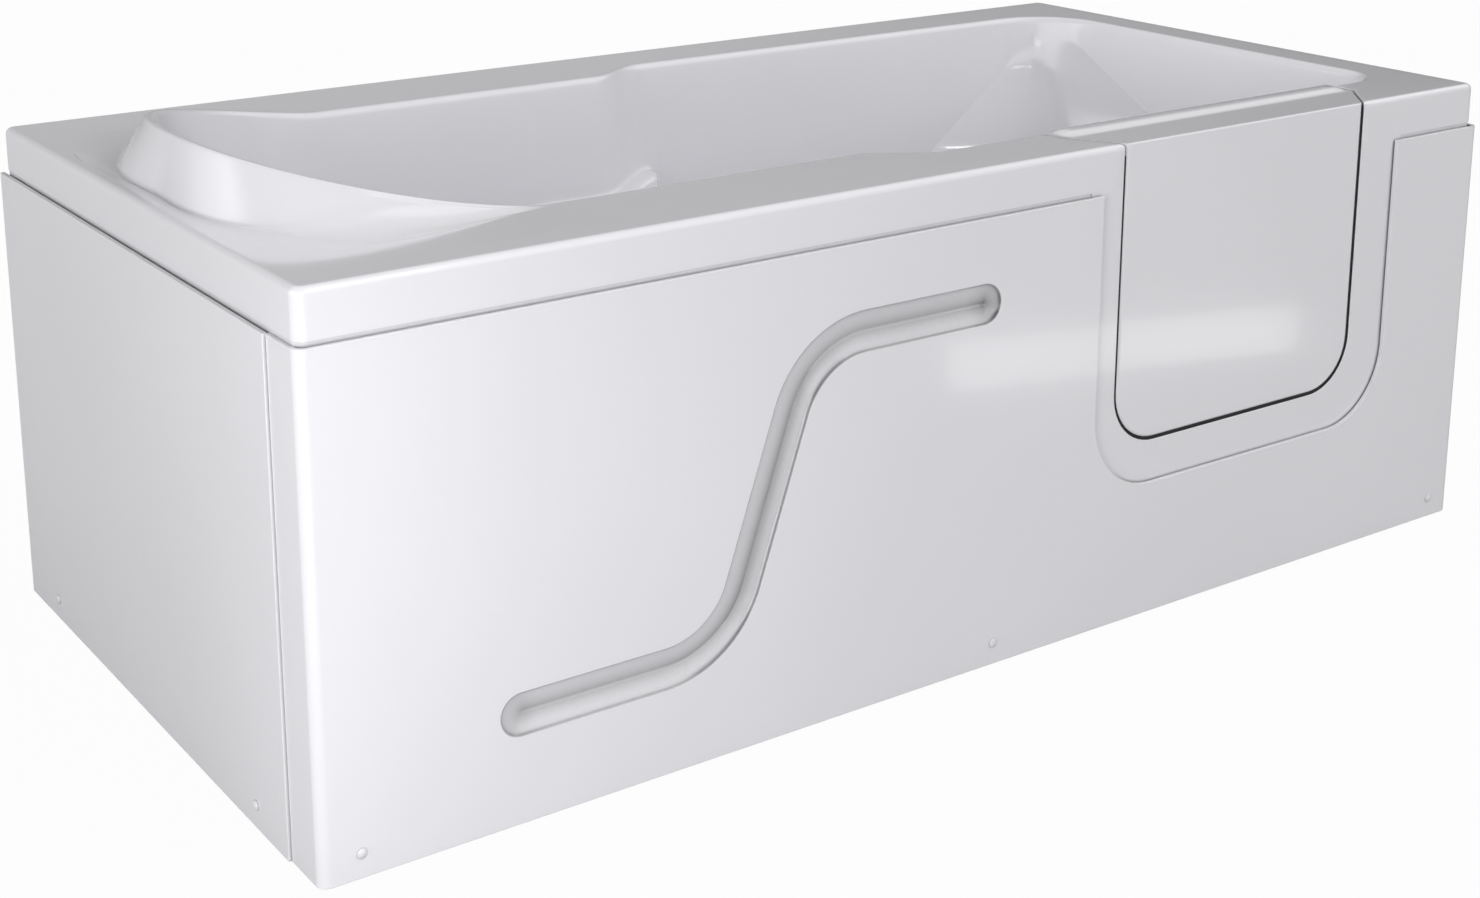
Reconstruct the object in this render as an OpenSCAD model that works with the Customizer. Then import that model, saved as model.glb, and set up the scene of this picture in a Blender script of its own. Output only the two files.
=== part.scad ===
// Walk-in bathtub with an inward-opening door in its front.
//
// X runs from the head end to the foot end, Y from the front panel to the wall,
// Z is up from the floor. The origin is on the floor under the middle of the
// footprint. The bath is one acrylic moulding (deck, well, headrest collar and
// door surround) on a welded steel frame with levelling feet, closed in by three
// panels. The door is a double skin that plugs a flared opening from inside, so
// the water pushes it onto its seal.

/* [Overall] */
// Length over the two end panels
overall_l = 1700; // [1660:10:1760]
// Depth from the front panel's face to the wall edge
overall_w = 850; // [830:10:890]
// Height of the deck above the floor
deck_h = 605; // [595:5:625]
// How far the front and end panels stand out from the rim
panel_proud = 7; // [5:0.5:9]

/* [Rim and shell] */
// Wall of the acrylic moulding with its glass-fibre backing
shell_t = 6; // [4:0.5:8]
// Height of the rim's turned-down skirt
skirt_h = 52; // [44:2:60]
// Radius along the rim's top edge
rim_edge_r = 8; // [4:1:12]
// Radius of the rim's corners seen from above
rim_corner_r = 13; // [10:1:18]
// Deck width beside the wide part of the well
deck_side = 100; // [96:1:106]
// Extra deck width beside the narrow part of the well
deck_extra = 45; // [35:1:55]
// Deck width at the foot end
deck_foot = 69; // [62:1:80]
// Length over which the well widens
step_l = 100; // [80:2:130]
// Distance from the widening's end to the door's latch-side edge
step_lead = 198; // [180:2:220]

/* [Well] */
// Height of the well's floor above the floor
floor_z = 160; // [155:1:170]
// Slope of the long side walls
side_draft = 0.1; // [0.05:0.01:0.14]
// Slope of the foot wall
foot_draft = 0.08; // [0.04:0.01:0.12]
// Lean of the backrest
back_lean = 0.5; // [0.4:0.02:0.6]
// Corner radius at the foot end
foot_corner_r = 98; // [80:2:110]
// Depth of the elbow ledge below the deck
ledge_d = 164; // [150:2:180]
// Width of the elbow ledge
ledge_w = 40; // [25:1:50]
// Rise of the hand grip at the ledge's front end
grip_h = 25; // [10:1:32]

/* [Headrest] */
// Height of the headrest's crest above the deck
rest_h = 62; // [40:1:75]
// Distance of the crest from the rim's head edge
crest_s = 61; // [54:1:74]
// Where the headrest runs out into the deck, from the rim's head edge
rest_end = 345; // [320:5:370]
// Depth of the dish around the headrest
dish_d = 4; // [2:0.5:5]

/* [Door] */
// Width of the door's front face
door_w = 411; // [390:1:425]
// Distance of the door's hinge-side edge from the rim's foot edge
door_lead = 228.5; // [222:0.5:236]
// Height of the door's bottom edge above the floor
door_z = 233; // [228:1:240]
// Corner radius at the door's bottom
door_r = 65; // [50:1:75]
// Gap around the door's front face
door_gap = 4.5; // [4:0.1:6]
// Depth of the door's tapered part
taper_d = 64; // [58:1:68]
// How much wider the door is inside, on the latch side and at the bottom
flare_latch = 36; // [34:1:38]
// How much wider the door is inside, on the hinge side
flare_hinge = 56; // [50:1:60]
// Wall of the two door skins
skin_t = 4; // [3:0.5:5]
// Height of the rounded ridge along the door's top
ridge_h = 6; // [4:0.5:8]
// Thickness of the seal's rubber
seal_t = 4; // [3:0.1:4.1]
// Depth of the seal along the door's edge
seal_d = 20; // [12:1:26]
// Distance of the seal behind the door's face
seal_in = 2; // [1:0.5:4]

/* [Hinge and latch] */
// Radius of the hinge barrel
barrel_r = 7; // [6:0.5:8]
// Radius of the hinge pin
pin_r = 3.5; // [3:0.25:4]
// Thickness of the hinge leaves
leaf_t = 3; // [2:0.5:4]
// Length of each hinge
hinge_l = 90; // [80:1:100]
// Depth of the top hinge's middle below the deck
hinge_top = 80; // [70:2:90]
// Depth of the latch's axis below the deck
latch_d = 128; // [110:1:140]
// Distance of the latch's axis from the door's wide edge
latch_in = 48; // [44:1:54]
// Length of the latch handle
handle_l = 100; // [85:1:110]

/* [Panels] */
// Thickness of the panels
panel_t = 5.5; // [4:0.5:6]
// Gap between a panel's top edge and the rim's skirt
panel_gap = 4; // [3:0.5:6]
// Gap under the panels
toe_gap = 4; // [3:1:8]
// Length of the front panel's return round each corner
return_l = 60; // [50:1:80]
// Outer radius of the front panel's vertical corners
panel_r = 12; // [8:1:16]
// How far the return stands out from the rim
return_proud = 4; // [3.5:0.5:4.5]
// Band of door surround left showing beside the door
band_side = 42; // [36:1:50]
// Extra band on the hinge side
band_extra = 26; // [20:1:32]
// Band of door surround left showing below the door
band_low = 57; // [48:1:62]
// Corner radius of the panel's cut-out
cut_r = 100; // [80:2:115]

/* [Groove] */
// Width of the groove pressed into the front panel
groove_w = 44; // [36:1:50]
// Depth of the groove
groove_d = 14; // [10:0.5:18]
// Height of the groove's lower run
groove_low = 125; // [115:1:140]
// Height of the groove's upper run
groove_high = 450; // [435:1:460]
// Lower run's round end, from the rim's head edge
groove_s1 = 220; // [190:2:240]
// Distance of the upper run's round end from the door
groove_lead = 222; // [200:2:240]
// Shift of the groove's middle from halfway between its ends
groove_shift = 2; // [-10:1:10]
// Steepness of the groove's middle, in degrees
groove_a = 71; // [66:1:76]
// Bend radius of the groove
groove_r = 105; // [90:1:115]

/* [Screw caps] */
// Diameter of a screw cap
cap_dia = 11.5; // [10:0.5:14]
// Height of a cap's dome
cap_h = 3.5; // [3:0.5:5]
// Height of the caps above the floor
cap_z = 31; // [28:1:36]
// Distance of the front panel's outer caps from the rim's end edges
cap_in = 40; // [35:1:50]
// Distance of an end panel's front cap from the rim's front edge
cap_near = 137; // [120:1:150]
// Distance of an end panel's back cap from the wall
cap_far = 105; // [90:1:120]

/* [Frame and feet] */
// Side of the frame's square tube
tube = 30; // [25:1:32]
// Wall of the frame's tube
tube_t = 2; // [1.5:0.5:3]
// Distance of the long rails from the centre line
rail_y = 170; // [150:5:185]
// Distance of the first cross member from the rim's head edge
cross_head = 243; // [230:5:260]
// Distance of the last cross member from the rim's foot edge
cross_foot = 98; // [94:1:105]
// Distance of the middle cross member from the waste
cross_waste = 135; // [120:5:150]
// Distance of the base board's ends from the rim's head and foot edges
board_ends = [375, 170];
// Thickness of the base board under the well
board_t = 18; // [12:1:20]
// Radius of a foot's threaded stud
stud_r = 6; // [5:0.5:8]
// Radius of a foot's pad
pad_r = 25; // [20:1:30]
// Distance of the feet from the rim's long edges
foot_in = 86.5; // [80:0.5:95]
// Thickness of the timber battens
batten_t = 24; // [20:1:26]

/* [Waste and overflow] */
// Distance of the waste and overflow from the door's wide edge
waste_lead = 72.5; // [70:0.5:80]
// Length of the waste's body under the well
waste_h = 98; // [92:1:100]
// Radius of the waste's flange
waste_r = 35; // [32:1:40]
// Radius of the waste's throat
throat_r = 24; // [20:1:26]
// Depth of the overflow's centre below the deck
overflow_d = 80; // [70:1:95]
// Radius of the overflow's plate
overflow_r = 33; // [30:1:38]
// Radius of the overflow pipe
pipe_r = 16; // [14:1:17]
// Radius of the trap's outlet spigot
outlet_r = 20; // [16:1:21]
// Depth of the trap below the waste's body
trap_h = 50; // [46:1:54]
// Reach of the outlet spigot from the waste's axis
outlet_l = 250; // [200:10:300]

/* [Hidden] */
$fn = 48;
white = "#ececee";
steel = "#b9bcc0";
rubber = "#1c1c1e";
timber = "#c9a46e";
plastic = "#d9d9db";
clear = 0.3;    // gap between pieces that meet but move or are bonded
running = 0.05; // radial clearance of a shaft in its hole
eps = 0.01;

// rim rectangle, and the centre line of the well
head_x = -overall_l / 2 + panel_proud;
foot_x = overall_l / 2 - panel_proud;
front_y = -overall_w / 2 + panel_proud;
back_y = overall_w / 2;
mid_y = (front_y + back_y) / 2;
rim_l = foot_x - head_x;
rim_w = back_y - front_y;
wide_half = rim_w / 2 - deck_side;
narrow_half = wide_half - deck_extra;
skirt_z = deck_h - skirt_h;
well_d = deck_h - floor_z;
under_z = floor_z - shell_t;

// door planes and edges
door_t = deck_side;
door_in_y = front_y + door_t;
taper_y = front_y + taper_d;
door_x1 = foot_x - door_lead;
door_x0 = door_x1 - door_w;
wide_x0 = door_x0 - flare_latch;
wide_x1 = door_x1 + flare_hinge;
wide_z = door_z - flare_latch;
jamb_gap = door_gap + 1.5;
jamb_t = 8;
step_end = door_x0 - step_lead - head_x;
step_start = step_end - step_l;
waste_x = wide_x0 - waste_lead;
overflow_z = deck_h - overflow_d;

// hinge axis, just inside the door's inner corner on the foot side
pivot_x = wide_x1 + jamb_gap / 2;
pivot_y = door_in_y + clear + barrel_r;

// hinges: the lower one sits just above the door's rounded corner
hinge_z = [wide_z + door_r + flare_latch + hinge_l / 2 + 4, deck_h - hinge_top];

// latch axis
latch_x = wide_x0 + latch_in;
latch_z = deck_h - latch_d;
tongue_y = door_in_y - 26;
tongue_l = latch_in + jamb_gap + 13;

// panel planes
panel_face = -overall_w / 2;
panel_back = panel_face + panel_t;
panel_top = skirt_z - panel_gap;
end_face = overall_l / 2;
end_back = end_face - panel_t;
seam_y = front_y + return_l;

// frame levels
rail_z1 = under_z - board_t;
rail_z0 = rail_z1 - tube;
cross_z0 = rail_z0 - tube;
cross_x = [head_x + cross_head, waste_x - cross_waste, foot_x - cross_foot];
foot_y = rim_w / 2 - foot_in;
rim_under = deck_h - shell_t;
batten_h = 26;
post_top = rim_under - batten_h - 5;
post_y0 = panel_back + clear + batten_t;
post_y1 = back_y - shell_t - 4 - tube;

function mix(a, b, t) = a + (b - a) * t;
function ease(a, b, v) = let (t = min(1, max(0, (v - a) / (b - a)))) t * t * (3 - 2 * t);
function power(v, p) = v <= 0 ? 0 : pow(v, p);

// --- The well's outline ----------------------------------------------------
// A point of the outline is [distance from the rim's head edge, distance from
// the centre line]. An outline has the same number of points at every depth,
// from the foot end's middle along one side to the head end's middle.
round_n = 2.35;    // roundness of the head end
arc_steps = 11;
step_margin = 22;

function plan_half(s) = mix(narrow_half, wide_half, ease(step_start, step_end, s));
function ledge_at(s) = ledge_w * (1 - ease(step_end - 12, step_end + 20, s));
function side_y(s, d, o, low) = plan_half(s) - side_draft * d - low * ledge_at(s) + o;
function foot_s(d, o) = rim_l - deck_foot - foot_draft * d + o;

// The wall side has a corner of two flat facets that open out with depth.
facet_d = 37;      // depth at which the facets start
facet_full = 187;  // depth at which they stop opening
facet_side = 197;  // length of the facet along the side wall there
facet_foot = 240;  // length of the facet along the foot wall at its own end
facet_quick = 1.6; // how much sooner that one stops opening
function facet_open(d) = min(1, max(0, (d - facet_d) / (facet_full - facet_d)));
function corner_back(d, o) =
    let (t = facet_open(d), r = foot_corner_r * (1 - ease(0, facet_d, d)),
        fs = foot_s(d, o), wy = wide_half - side_draft * d + o,
        a = [fs - r - 26 - (facet_side - 26) * t, wy],
        b = [fs, wy - r - 30 - (facet_foot - 30) * min(1, facet_quick * t)],
        m = [fs - 0.29 * r - 14 - 28 * t, wy - 0.29 * r - 8 - 84 * t])
    [b, mix(b, m, 0.5), m, mix(m, a, 0.5), a];
function corner_front(d, o) =
    let (r = max(34, foot_corner_r * 0.6 - 0.085 * d), fs = foot_s(d, o), wy = wide_half + o)
    [for (i = [0:4]) [fs - r * (1 - cos(22.5 * i)), wy - r * (1 - sin(22.5 * i))]];

function head_s(d, o) = crest_s - o + (d > 20 ? back_lean * (d + rest_h) : 0);
function head_arc(d, o, low, draft) =
    let (sc = rest_end + 0.35 * max(0, d - 20), s0 = head_s(d, o),
        b = narrow_half - draft * d - low * ledge_w + o)
    [for (i = [0:arc_steps]) let (a = 86 - 83 * i / arc_steps)
        [sc - (sc - s0) * power(cos(a), 2 / round_n), b * power(sin(a), 2 / round_n)]];

function side_run(d, o, low, corner, draft) =
    let (s1 = step_end + step_margin, s0 = step_start - step_margin,
        sc = rest_end + 0.35 * max(0, d - 20), a = corner[4][0])
    concat(
        [for (i = [1:2]) [corner[0][0], corner[0][1] * i / 3]],
        corner,
        [for (i = [1:2]) let (s = mix(a, s1, i / 3))
            [s, wide_half - draft * d + o]],
        [for (i = [0:9]) let (s = mix(s1, s0, i / 9))
            [s, plan_half(s) - mix(draft, side_draft, i / 9) * d
                - low * ledge_at(s) + o]],
        [for (i = [1:3]) let (s = mix(s0, sc, i / 4))
            [s, narrow_half - side_draft * d - low * ledge_w + o]]);

function half_back(d, o, low) =
    concat(side_run(d, o, low, corner_back(d, o), side_draft),
        head_arc(d, o, low, side_draft));
function half_front(d, o, low) =
    concat(side_run(d, o, low, corner_front(d, o), 0),
        head_arc(d, o, low, side_draft));
function reversed(l) = [for (i = [len(l) - 1:-1:0]) l[i]];

// Height of the headrest's crest, and of the grip on the ledge, at a place.
function crest_h(s) = rest_h * power((rest_end - s) / (rest_end - crest_s), 1.3);
function grip_at(s) = grip_h * ease(step_start + 9, step_end - 10, s)
    * (1 - ease(step_end - 5, step_end + 19, s));

// One ring of the well: depth, offset outwards, ledge share, and whether it
// follows the crest or the grip.
function well_ring(d, o, low = 0, crest = 0, grip = 0) =
    let (back = half_back(d, o, low), front = half_front(d, o, low),
        all = concat([for (p = back) [p[0], p[1]]],
            reversed([for (p = front) [p[0], -p[1]]])))
    [for (p = all) [head_x + p[0], mid_y + p[1],
        deck_h - d + crest * crest_h(p[0]) + grip * grip_at(p[0])]];

// Joins rings of equal length, from the top down, and closes both ends by
// strips across the middle.
module loft(rings) {
    n = len(rings[0]);
    k = len(rings) - 1;
    polyhedron(
        points = [for (r = rings) each r],
        faces = concat(
            [for (j = [0:k - 1], i = [0:n - 1]) let (p = j * n, q = p + n, h = (i + 1) % n)
                each [[p + i, p + h, q + h], [p + i, q + h, q + i]]],
            [for (i = [0:n / 2 - 2]) each [[i, n - 1 - i, n - 2 - i], [i, n - 2 - i, i + 1]]],
            [for (i = [0:n / 2 - 2]) let (p = k * n)
                each [[p + i, p + i + 1, p + n - 2 - i], [p + i, p + n - 2 - i, p + n - 1 - i]]]));
}

// The space inside the well, cut a little above the crest.
module well_space() {
    loft([
        well_ring(-30, 14, 0, 1), well_ring(0, 8, 0, 1), well_ring(1.2, 4, 0, 1),
        well_ring(4, 1.2, 0, 1), well_ring(8, 0, 0, 1),
        well_ring(facet_d, 0), well_ring(100, 0), well_ring(ledge_d - 6, 0, 0, 0, 1),
        well_ring(ledge_d, 0, 1, 0, 1), well_ring(ledge_d + 18, 0, 1),
        well_ring(290, 0, 1), well_ring(well_d - 60, 0, 1),
        well_ring(well_d - 25, -12, 1), well_ring(well_d - 7, -30, 1),
        well_ring(well_d, -60, 1)]);
}
// The outside of the well's wall.
module well_body() {
    t = shell_t;
    loft([
        well_ring(4, t, 0, 1), well_ring(facet_d, t), well_ring(100, t),
        well_ring(ledge_d - 6 + t, t, 0, 0, 1), well_ring(ledge_d + t, t, 1, 0, 1),
        well_ring(ledge_d + 18 + t, t, 1), well_ring(290, t, 1),
        well_ring(well_d - 60, t, 1), well_ring(well_d - 25 + t, t - 12, 1),
        well_ring(well_d - 7 + t, t - 30, 1), well_ring(well_d + t, -54, 1)]);
}

// --- Headrest --------------------------------------------------------------
collar_steps = 14;
function collar_a(i) = 88 - 176 * i / (collar_steps * 2);
function collar_side(i) = let (a = collar_a(i))
    [power(cos(a), 2 / round_n), power(abs(sin(a)), 2 / round_n) * sign(sin(a))];
// Width of the headrest's foot outside its crest, and reach of the dish.
function foot_off(a) = 4 + 22 * power(cos(a), 0.5) + 22 * power(abs(sin(2 * a)), 1);
function dish_y(a) = (narrow_half + 68 * power(abs(sin(2 * a)), 0.8))
    * power(abs(sin(a)), 0.2) * sign(sin(a));
function collar_ring(off, z0, lift) = [for (i = [0:collar_steps * 2])
    let (a = collar_a(i), u = collar_side(i), o = off * foot_off(a),
        s = rest_end - (rest_end - crest_s + o) * u[0],
        sc = rest_end - (rest_end - crest_s) * u[0])
    if (i != collar_steps) [head_x + s, mid_y + (narrow_half + o) * u[1],
        z0 + lift * crest_h(sc)]];
function dish_ring(z) = [for (i = [0:collar_steps * 2]) let (a = collar_a(i))
    if (i != collar_steps)
        [head_x + rest_end - (rest_end - 15) * collar_side(i)[0], mid_y + dish_y(a), z]];
// The shallow dish, from the deck down to the headrest's foot.
module dish(z) {
    loft([dish_ring(z + 1), dish_ring(z), collar_ring(1.4, z - dish_d, 0)]);
}
module collar() {
    loft([collar_ring(0.3, deck_h - 0.5, 1), collar_ring(0.42, deck_h - 3, 0.55),
        collar_ring(0.72, deck_h - 3.2, 0.16), collar_ring(1.1, deck_h - 3.5, 0),
        collar_ring(1.1, rim_under - 1, 0)]);
}
module collar_space() {
    loft([collar_ring(0.15, deck_h - 14, 0.86), collar_ring(0.6, deck_h - 14, 0),
        collar_ring(0.6, rim_under - 12, 0)]);
}

// --- Rim and door surround ---------------------------------------------------
// The rim's block with its rounded top edge, inset by i.
module rim_block(i, z0, r) {
    a = [head_x + i, front_y + i];
    b = [foot_x - i, back_y - i];
    c = rim_corner_r - i;
    hull() for (x = [a[0] + c, b[0] - c], y = [a[1] + c, b[1] - c])
        translate([x, y, z0]) {
            for (t = [0, 30, 60, 90])
                cylinder(h = deck_h - i - z0 - r * (1 - sin(t)),
                    r = c - r * (1 - cos(t)), $fn = 24);
        }
}
// An opening's outline seen from the front: straight sides, round lower corners.
function u_outline(x0, x1, z0, z1, r) = concat([[x1, z1], [x0, z1]],
    [for (i = [0:6]) [x0 + r * (1 - cos(15 * i)), z0 + r * (1 - sin(15 * i))]],
    [for (i = [6:-1:0]) [x1 - r * (1 - cos(15 * i)), z0 + r * (1 - sin(15 * i))]]);
function at_y(outline, y) = [for (p = outline) [p[0], y, p[1]]];
// Joins outlines from front to back, with fan ends.
module plug(rings) {
    n = len(rings[0]);
    k = len(rings) - 1;
    polyhedron(
        points = [for (r = rings) each r],
        faces = concat(
            [for (j = [0:k - 1], i = [0:n - 1]) let (p = j * n, q = p + n, h = (i + 1) % n)
                each [[p + i, p + h, q + h], [p + i, q + h, q + i]]],
            [for (i = [1:n - 2]) [0, i + 1, i]],
            [for (i = [1:n - 2]) let (p = k * n) [p, p + i, p + i + 1]]));
}
// Outline of the door at a depth behind its face, grown by o, up to z1.
function door_outline(depth, o, z1) =
    let (t = min(1, depth / taper_d), extra = flare_latch * t)
    at_y(u_outline(door_x0 - extra - o, door_x1 + flare_hinge * t + o,
        door_z - extra - o, z1, door_r + extra + o), front_y + depth);
module door_plug(o, from, to, z1) {
    plug(concat([door_outline(from, o, z1)],
        from < taper_d && to > taper_d ? [door_outline(taper_d, o, z1)] : [],
        [door_outline(to, o, z1)]));
}
// The doorway cut through the shell; its straight part is a little wider.
module doorway() {
    top = deck_h + 20;
    plug([at_y(u_outline(door_x0 - door_gap + 0.6, door_x1 + door_gap - 0.6,
            door_z - door_gap + 0.6, top, door_r + door_gap), front_y - 1),
        door_outline(0, door_gap, top), door_outline(taper_d, jamb_gap, top),
        door_outline(door_t + 30, jamb_gap, top)]);
}
// Apron behind the front panel, the flared jamb, and the ribs behind the apron.
apron_x0 = door_x0 - band_side - 14;
apron_x1 = door_x1 + band_side + band_extra + 14;
apron_z0 = door_z - band_low - 12;
module surround() {
    c = 62;
    hull() {
        translate([apron_x0, front_y, deck_h - 30]) cube([apron_x1 - apron_x0, jamb_t, 22]);
        translate([apron_x0 + c, front_y, apron_z0]) cube([apron_x1 - apron_x0 - 2 * c, jamb_t, 9]);
        translate([apron_x0, front_y, apron_z0 + c]) cube([apron_x1 - apron_x0, jamb_t, 9]);
    }
    intersection() {
        plug([door_outline(0, jamb_gap + jamb_t, deck_h - 4),
            door_outline(taper_d, jamb_gap + jamb_t, deck_h - 4),
            door_outline(door_t + 8, jamb_gap + jamb_t, deck_h - 4)]);
        hull() for (x = [door_x0 - 90, door_x1 + 90])
            translate([x, front_y, under_z]) cube([1, door_t + shell_t, well_d]);
    }
    rib = 5;
    for (x = [door_x0 + 90, door_x1 - 90 - rib]) hull() {
        translate([x, front_y + 1, apron_z0 + 4]) cube([rib, 4, 50]);
        translate([x, taper_y + 10, wide_z - jamb_gap - 4]) cube([rib, 4, 2]);
    }
    for (x = [apron_x0 + 1, apron_x1 - rib - 1]) hull() {
        translate([x, front_y + 1, apron_z0 + c + 4]) cube([rib, 4, 2]);
        translate([x, front_y + 1, rim_under - 1]) cube([rib, 34, 2]);
    }
}
slot_up = tongue_l - 7; // height of the jamb's slot above the latch's axis
slot_low = 14;          // and below it
module screw_bore(side) leaf_screw_places(side)
    translate([0, 0, -leaf_t - shell_t - 8]) cylinder(h = shell_t + 8 + leaf_t + 8, r = screw_r + clear);

module bath_shell() color(white) difference() {
    union() {
        difference() {
            union() {
                difference() {
                    union() {
                        difference() {
                            rim_block(0, skirt_z, rim_edge_r);
                            rim_block(shell_t, skirt_z - 1, 0);
                        }
                        translate([0, 0, -shell_t]) dish(deck_h);
                    }
                    dish(deck_h);
                }
                collar();
            }
            collar_space();
        }
        well_body();
        surround();
    }
    well_space();
    doorway();
    translate([waste_x, mid_y, under_z - 5]) cylinder(h = 30, r = throat_r + 2);
    translate([waste_x, door_in_y + 10, overflow_z]) rotate([90, 0, 0])
        cylinder(h = 30, r = overflow_r - 13);
    // slot in the jamb for the latch's tongue
    hull() for (z = [latch_z - slot_low + 6, latch_z + slot_up - 6])
        translate([wide_x0 - jamb_gap - jamb_t - 2, tongue_y, z]) rotate([0, 90, 0])
            cylinder(h = jamb_t + jamb_gap + 4, r = 6, $fn = 24);
    screw_bore(1);
}

module base_board() color(timber) difference() {
    translate([head_x + board_ends[0], mid_y - rail_y - tube / 2, rail_z1])
        cube([rim_l - board_ends[0] - board_ends[1], 2 * rail_y + tube, board_t]);
    translate([waste_x, mid_y, rail_z1 - 1]) cylinder(h = board_t + 2, r = waste_r + 6);
}

// --- Frame, battens and feet --------------------------------------------------
// A square tube standing on its corner at the origin.
module square_tube(l, side = tube) difference() {
    cube([side, side, l]);
    translate([tube_t, tube_t, -1]) cube([side - 2 * tube_t, side - 2 * tube_t, l + 2]);
}
rail_l = overall_l - 2 * (panel_t + clear + batten_t) - 0.6;
module long_rails() color(steel) for (side = [-1, 1])
    translate([-rail_l / 2 + tube, mid_y + side * rail_y - tube / 2, rail_z0])
        translate([0, 0, tube]) rotate([0, 90, 0]) square_tube(rail_l - 2 * tube);
module cross_members() color(steel) difference() {
    for (x = cross_x) translate([x - tube / 2, post_y0 + tube, cross_z0])
        translate([0, 0, tube]) rotate([-90, 0, 0]) square_tube(post_y1 - post_y0 - tube);
    for (x = cross_x, side = [-1, 1]) translate([x, mid_y + side * foot_y, cross_z0 - 1])
        cylinder(h = tube + 2, r = stud_r + running);
}
module frame_posts() color(steel) {
    for (x = [-rail_l / 2, rail_l / 2 - tube], side = [-1, 1])
        translate([x, mid_y + side * rail_y - tube / 2, rail_z0]) square_tube(post_top - rail_z0);
    for (x = cross_x, y = [post_y0, post_y1])
        translate([x - tube / 2, y, cross_z0]) square_tube(post_top - cross_z0);
}
nut_h = 9;
module frame_nuts() color(steel) for (x = cross_x, s = [-1, 1])
    translate([x, mid_y + s * foot_y, cross_z0 - nut_h]) difference() {
        cylinder(h = nut_h, r = stud_r * 1.8, $fn = 6);
        translate([0, 0, -1]) cylinder(h = nut_h + 2, r = stud_r + running);
    }
// A levelling foot: swivel pad, threaded stud and lock nut.
module levelling_foot(x, s) color(steel) translate([x, mid_y + s * foot_y, 0]) {
    lock_top = cross_z0 - nut_h - clear;
    rotate_extrude() polygon([[0, 0], [pad_r, 0], [pad_r, 5], [pad_r - 5, 9],
        [stud_r + 5, 13], [stud_r + 3, 18], [0, 18]]);
    translate([0, 0, 10]) cylinder(h = rail_z0 - 6 - 10, r = stud_r);
    translate([0, 0, lock_top - 7]) cylinder(h = 7, r = stud_r * 1.75, $fn = 6);
}
module foot_1() levelling_foot(cross_x[0], -1);
module foot_2() levelling_foot(cross_x[0], 1);
module foot_3() levelling_foot(cross_x[1], -1);
module foot_4() levelling_foot(cross_x[1], 1);
module foot_5() levelling_foot(cross_x[2], -1);
module foot_6() levelling_foot(cross_x[2], 1);

// Timber bonded under the rim, carried by the frame's posts.
module rim_battens() color(timber) {
    y0 = front_y + shell_t + clear;
    y1 = back_y - shell_t - clear;
    h = rim_under - clear - post_top;
    left_end = door_x0 - band_side - 20;
    right_start = door_x1 + band_side + band_extra + 20;
    translate([head_x + 40, y0, post_top]) cube([left_end - head_x - 40, 44, h]);
    translate([right_start, y0, post_top]) cube([foot_x - 40 - right_start, 44, h]);
    translate([head_x + 40, y1 - 44, post_top]) cube([rim_l - 80, 44, h]);
    head_half = narrow_half - 56;
    foot_half = wide_half - 21;
    translate([head_x + shell_t + clear, mid_y - head_half, post_top])
        cube([batten_t, 2 * head_half, h - dish_d - 2.4]);
    translate([foot_x - shell_t - clear - 44, mid_y - foot_half, post_top])
        cube([44, 2 * foot_half, h]);
}
end_batten_l = back_y - seam_y - 28;
// Timber behind the panels' top edges, fixed to the posts.
module panel_top_battens() color(timber) {
    z0 = panel_top - 40;
    h = 36;
    x0 = -end_back + clear + batten_t + clear;
    translate([x0, panel_back + clear, z0])
        cube([door_x0 - band_side - 20 - x0, batten_t, h]);
    translate([door_x1 + band_side + band_extra + 20, panel_back + clear, z0])
        cube([-x0 - door_x1 - band_side - band_extra - 20, batten_t, h]);
    for (x = [-end_back + clear, end_back - clear - batten_t])
        translate([x, seam_y + 2, z0]) cube([batten_t, end_batten_l, h]);
}
// Timber along the floor behind the panels' bottom edges, with its screw holes.
module floor_battens() color(timber) difference() {
    h = 40;
    z0 = 12;
    x0 = -end_back + clear + batten_t + clear;
    union() {
        translate([x0, panel_back + clear, z0]) cube([-2 * x0, batten_t, h]);
        for (x = [-end_back + clear, end_back - clear - batten_t])
            translate([x, seam_y + 2, z0]) cube([batten_t, end_batten_l, h]);
    }
    screw_places() translate([0, 0, -25]) cylinder(h = 25, r = screw_r + running);
}

// --- Panels, screws and caps ---------------------------------------------------
screw_r = 2;
head_r = 3.4;
// Puts its children on each panel screw, with +Z pointing out of the panel.
module screw_places() {
    for (x = [head_x + cap_in, (head_x + foot_x) / 2 + 9, foot_x - cap_in])
        translate([x, panel_face, cap_z]) rotate([90, 0, 0]) children();
    for (y = [front_y + cap_near, back_y - cap_far]) {
        translate([-end_face, y, cap_z]) rotate([0, -90, 0]) children();
        translate([end_face, y, cap_z]) rotate([0, 90, 0]) children();
    }
}
module panel_screws() color(steel) screw_places() {
    translate([0, 0, -22]) cylinder(h = 23, r = screw_r);
    translate([0, 0, clear]) cylinder(h = 1.6, r1 = head_r, r2 = head_r - 0.8);
}
module screw_caps() color(white) screw_places() difference() {
    dome = (pow(cap_dia / 2, 2) + cap_h * cap_h) / (2 * cap_h);
    intersection() {
        translate([0, 0, cap_h - dome]) sphere(r = dome);
        cylinder(h = cap_h + 1, r = cap_dia / 2);
    }
    translate([0, 0, -1]) cylinder(h = 3.1, r = head_r + clear);
}

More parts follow.
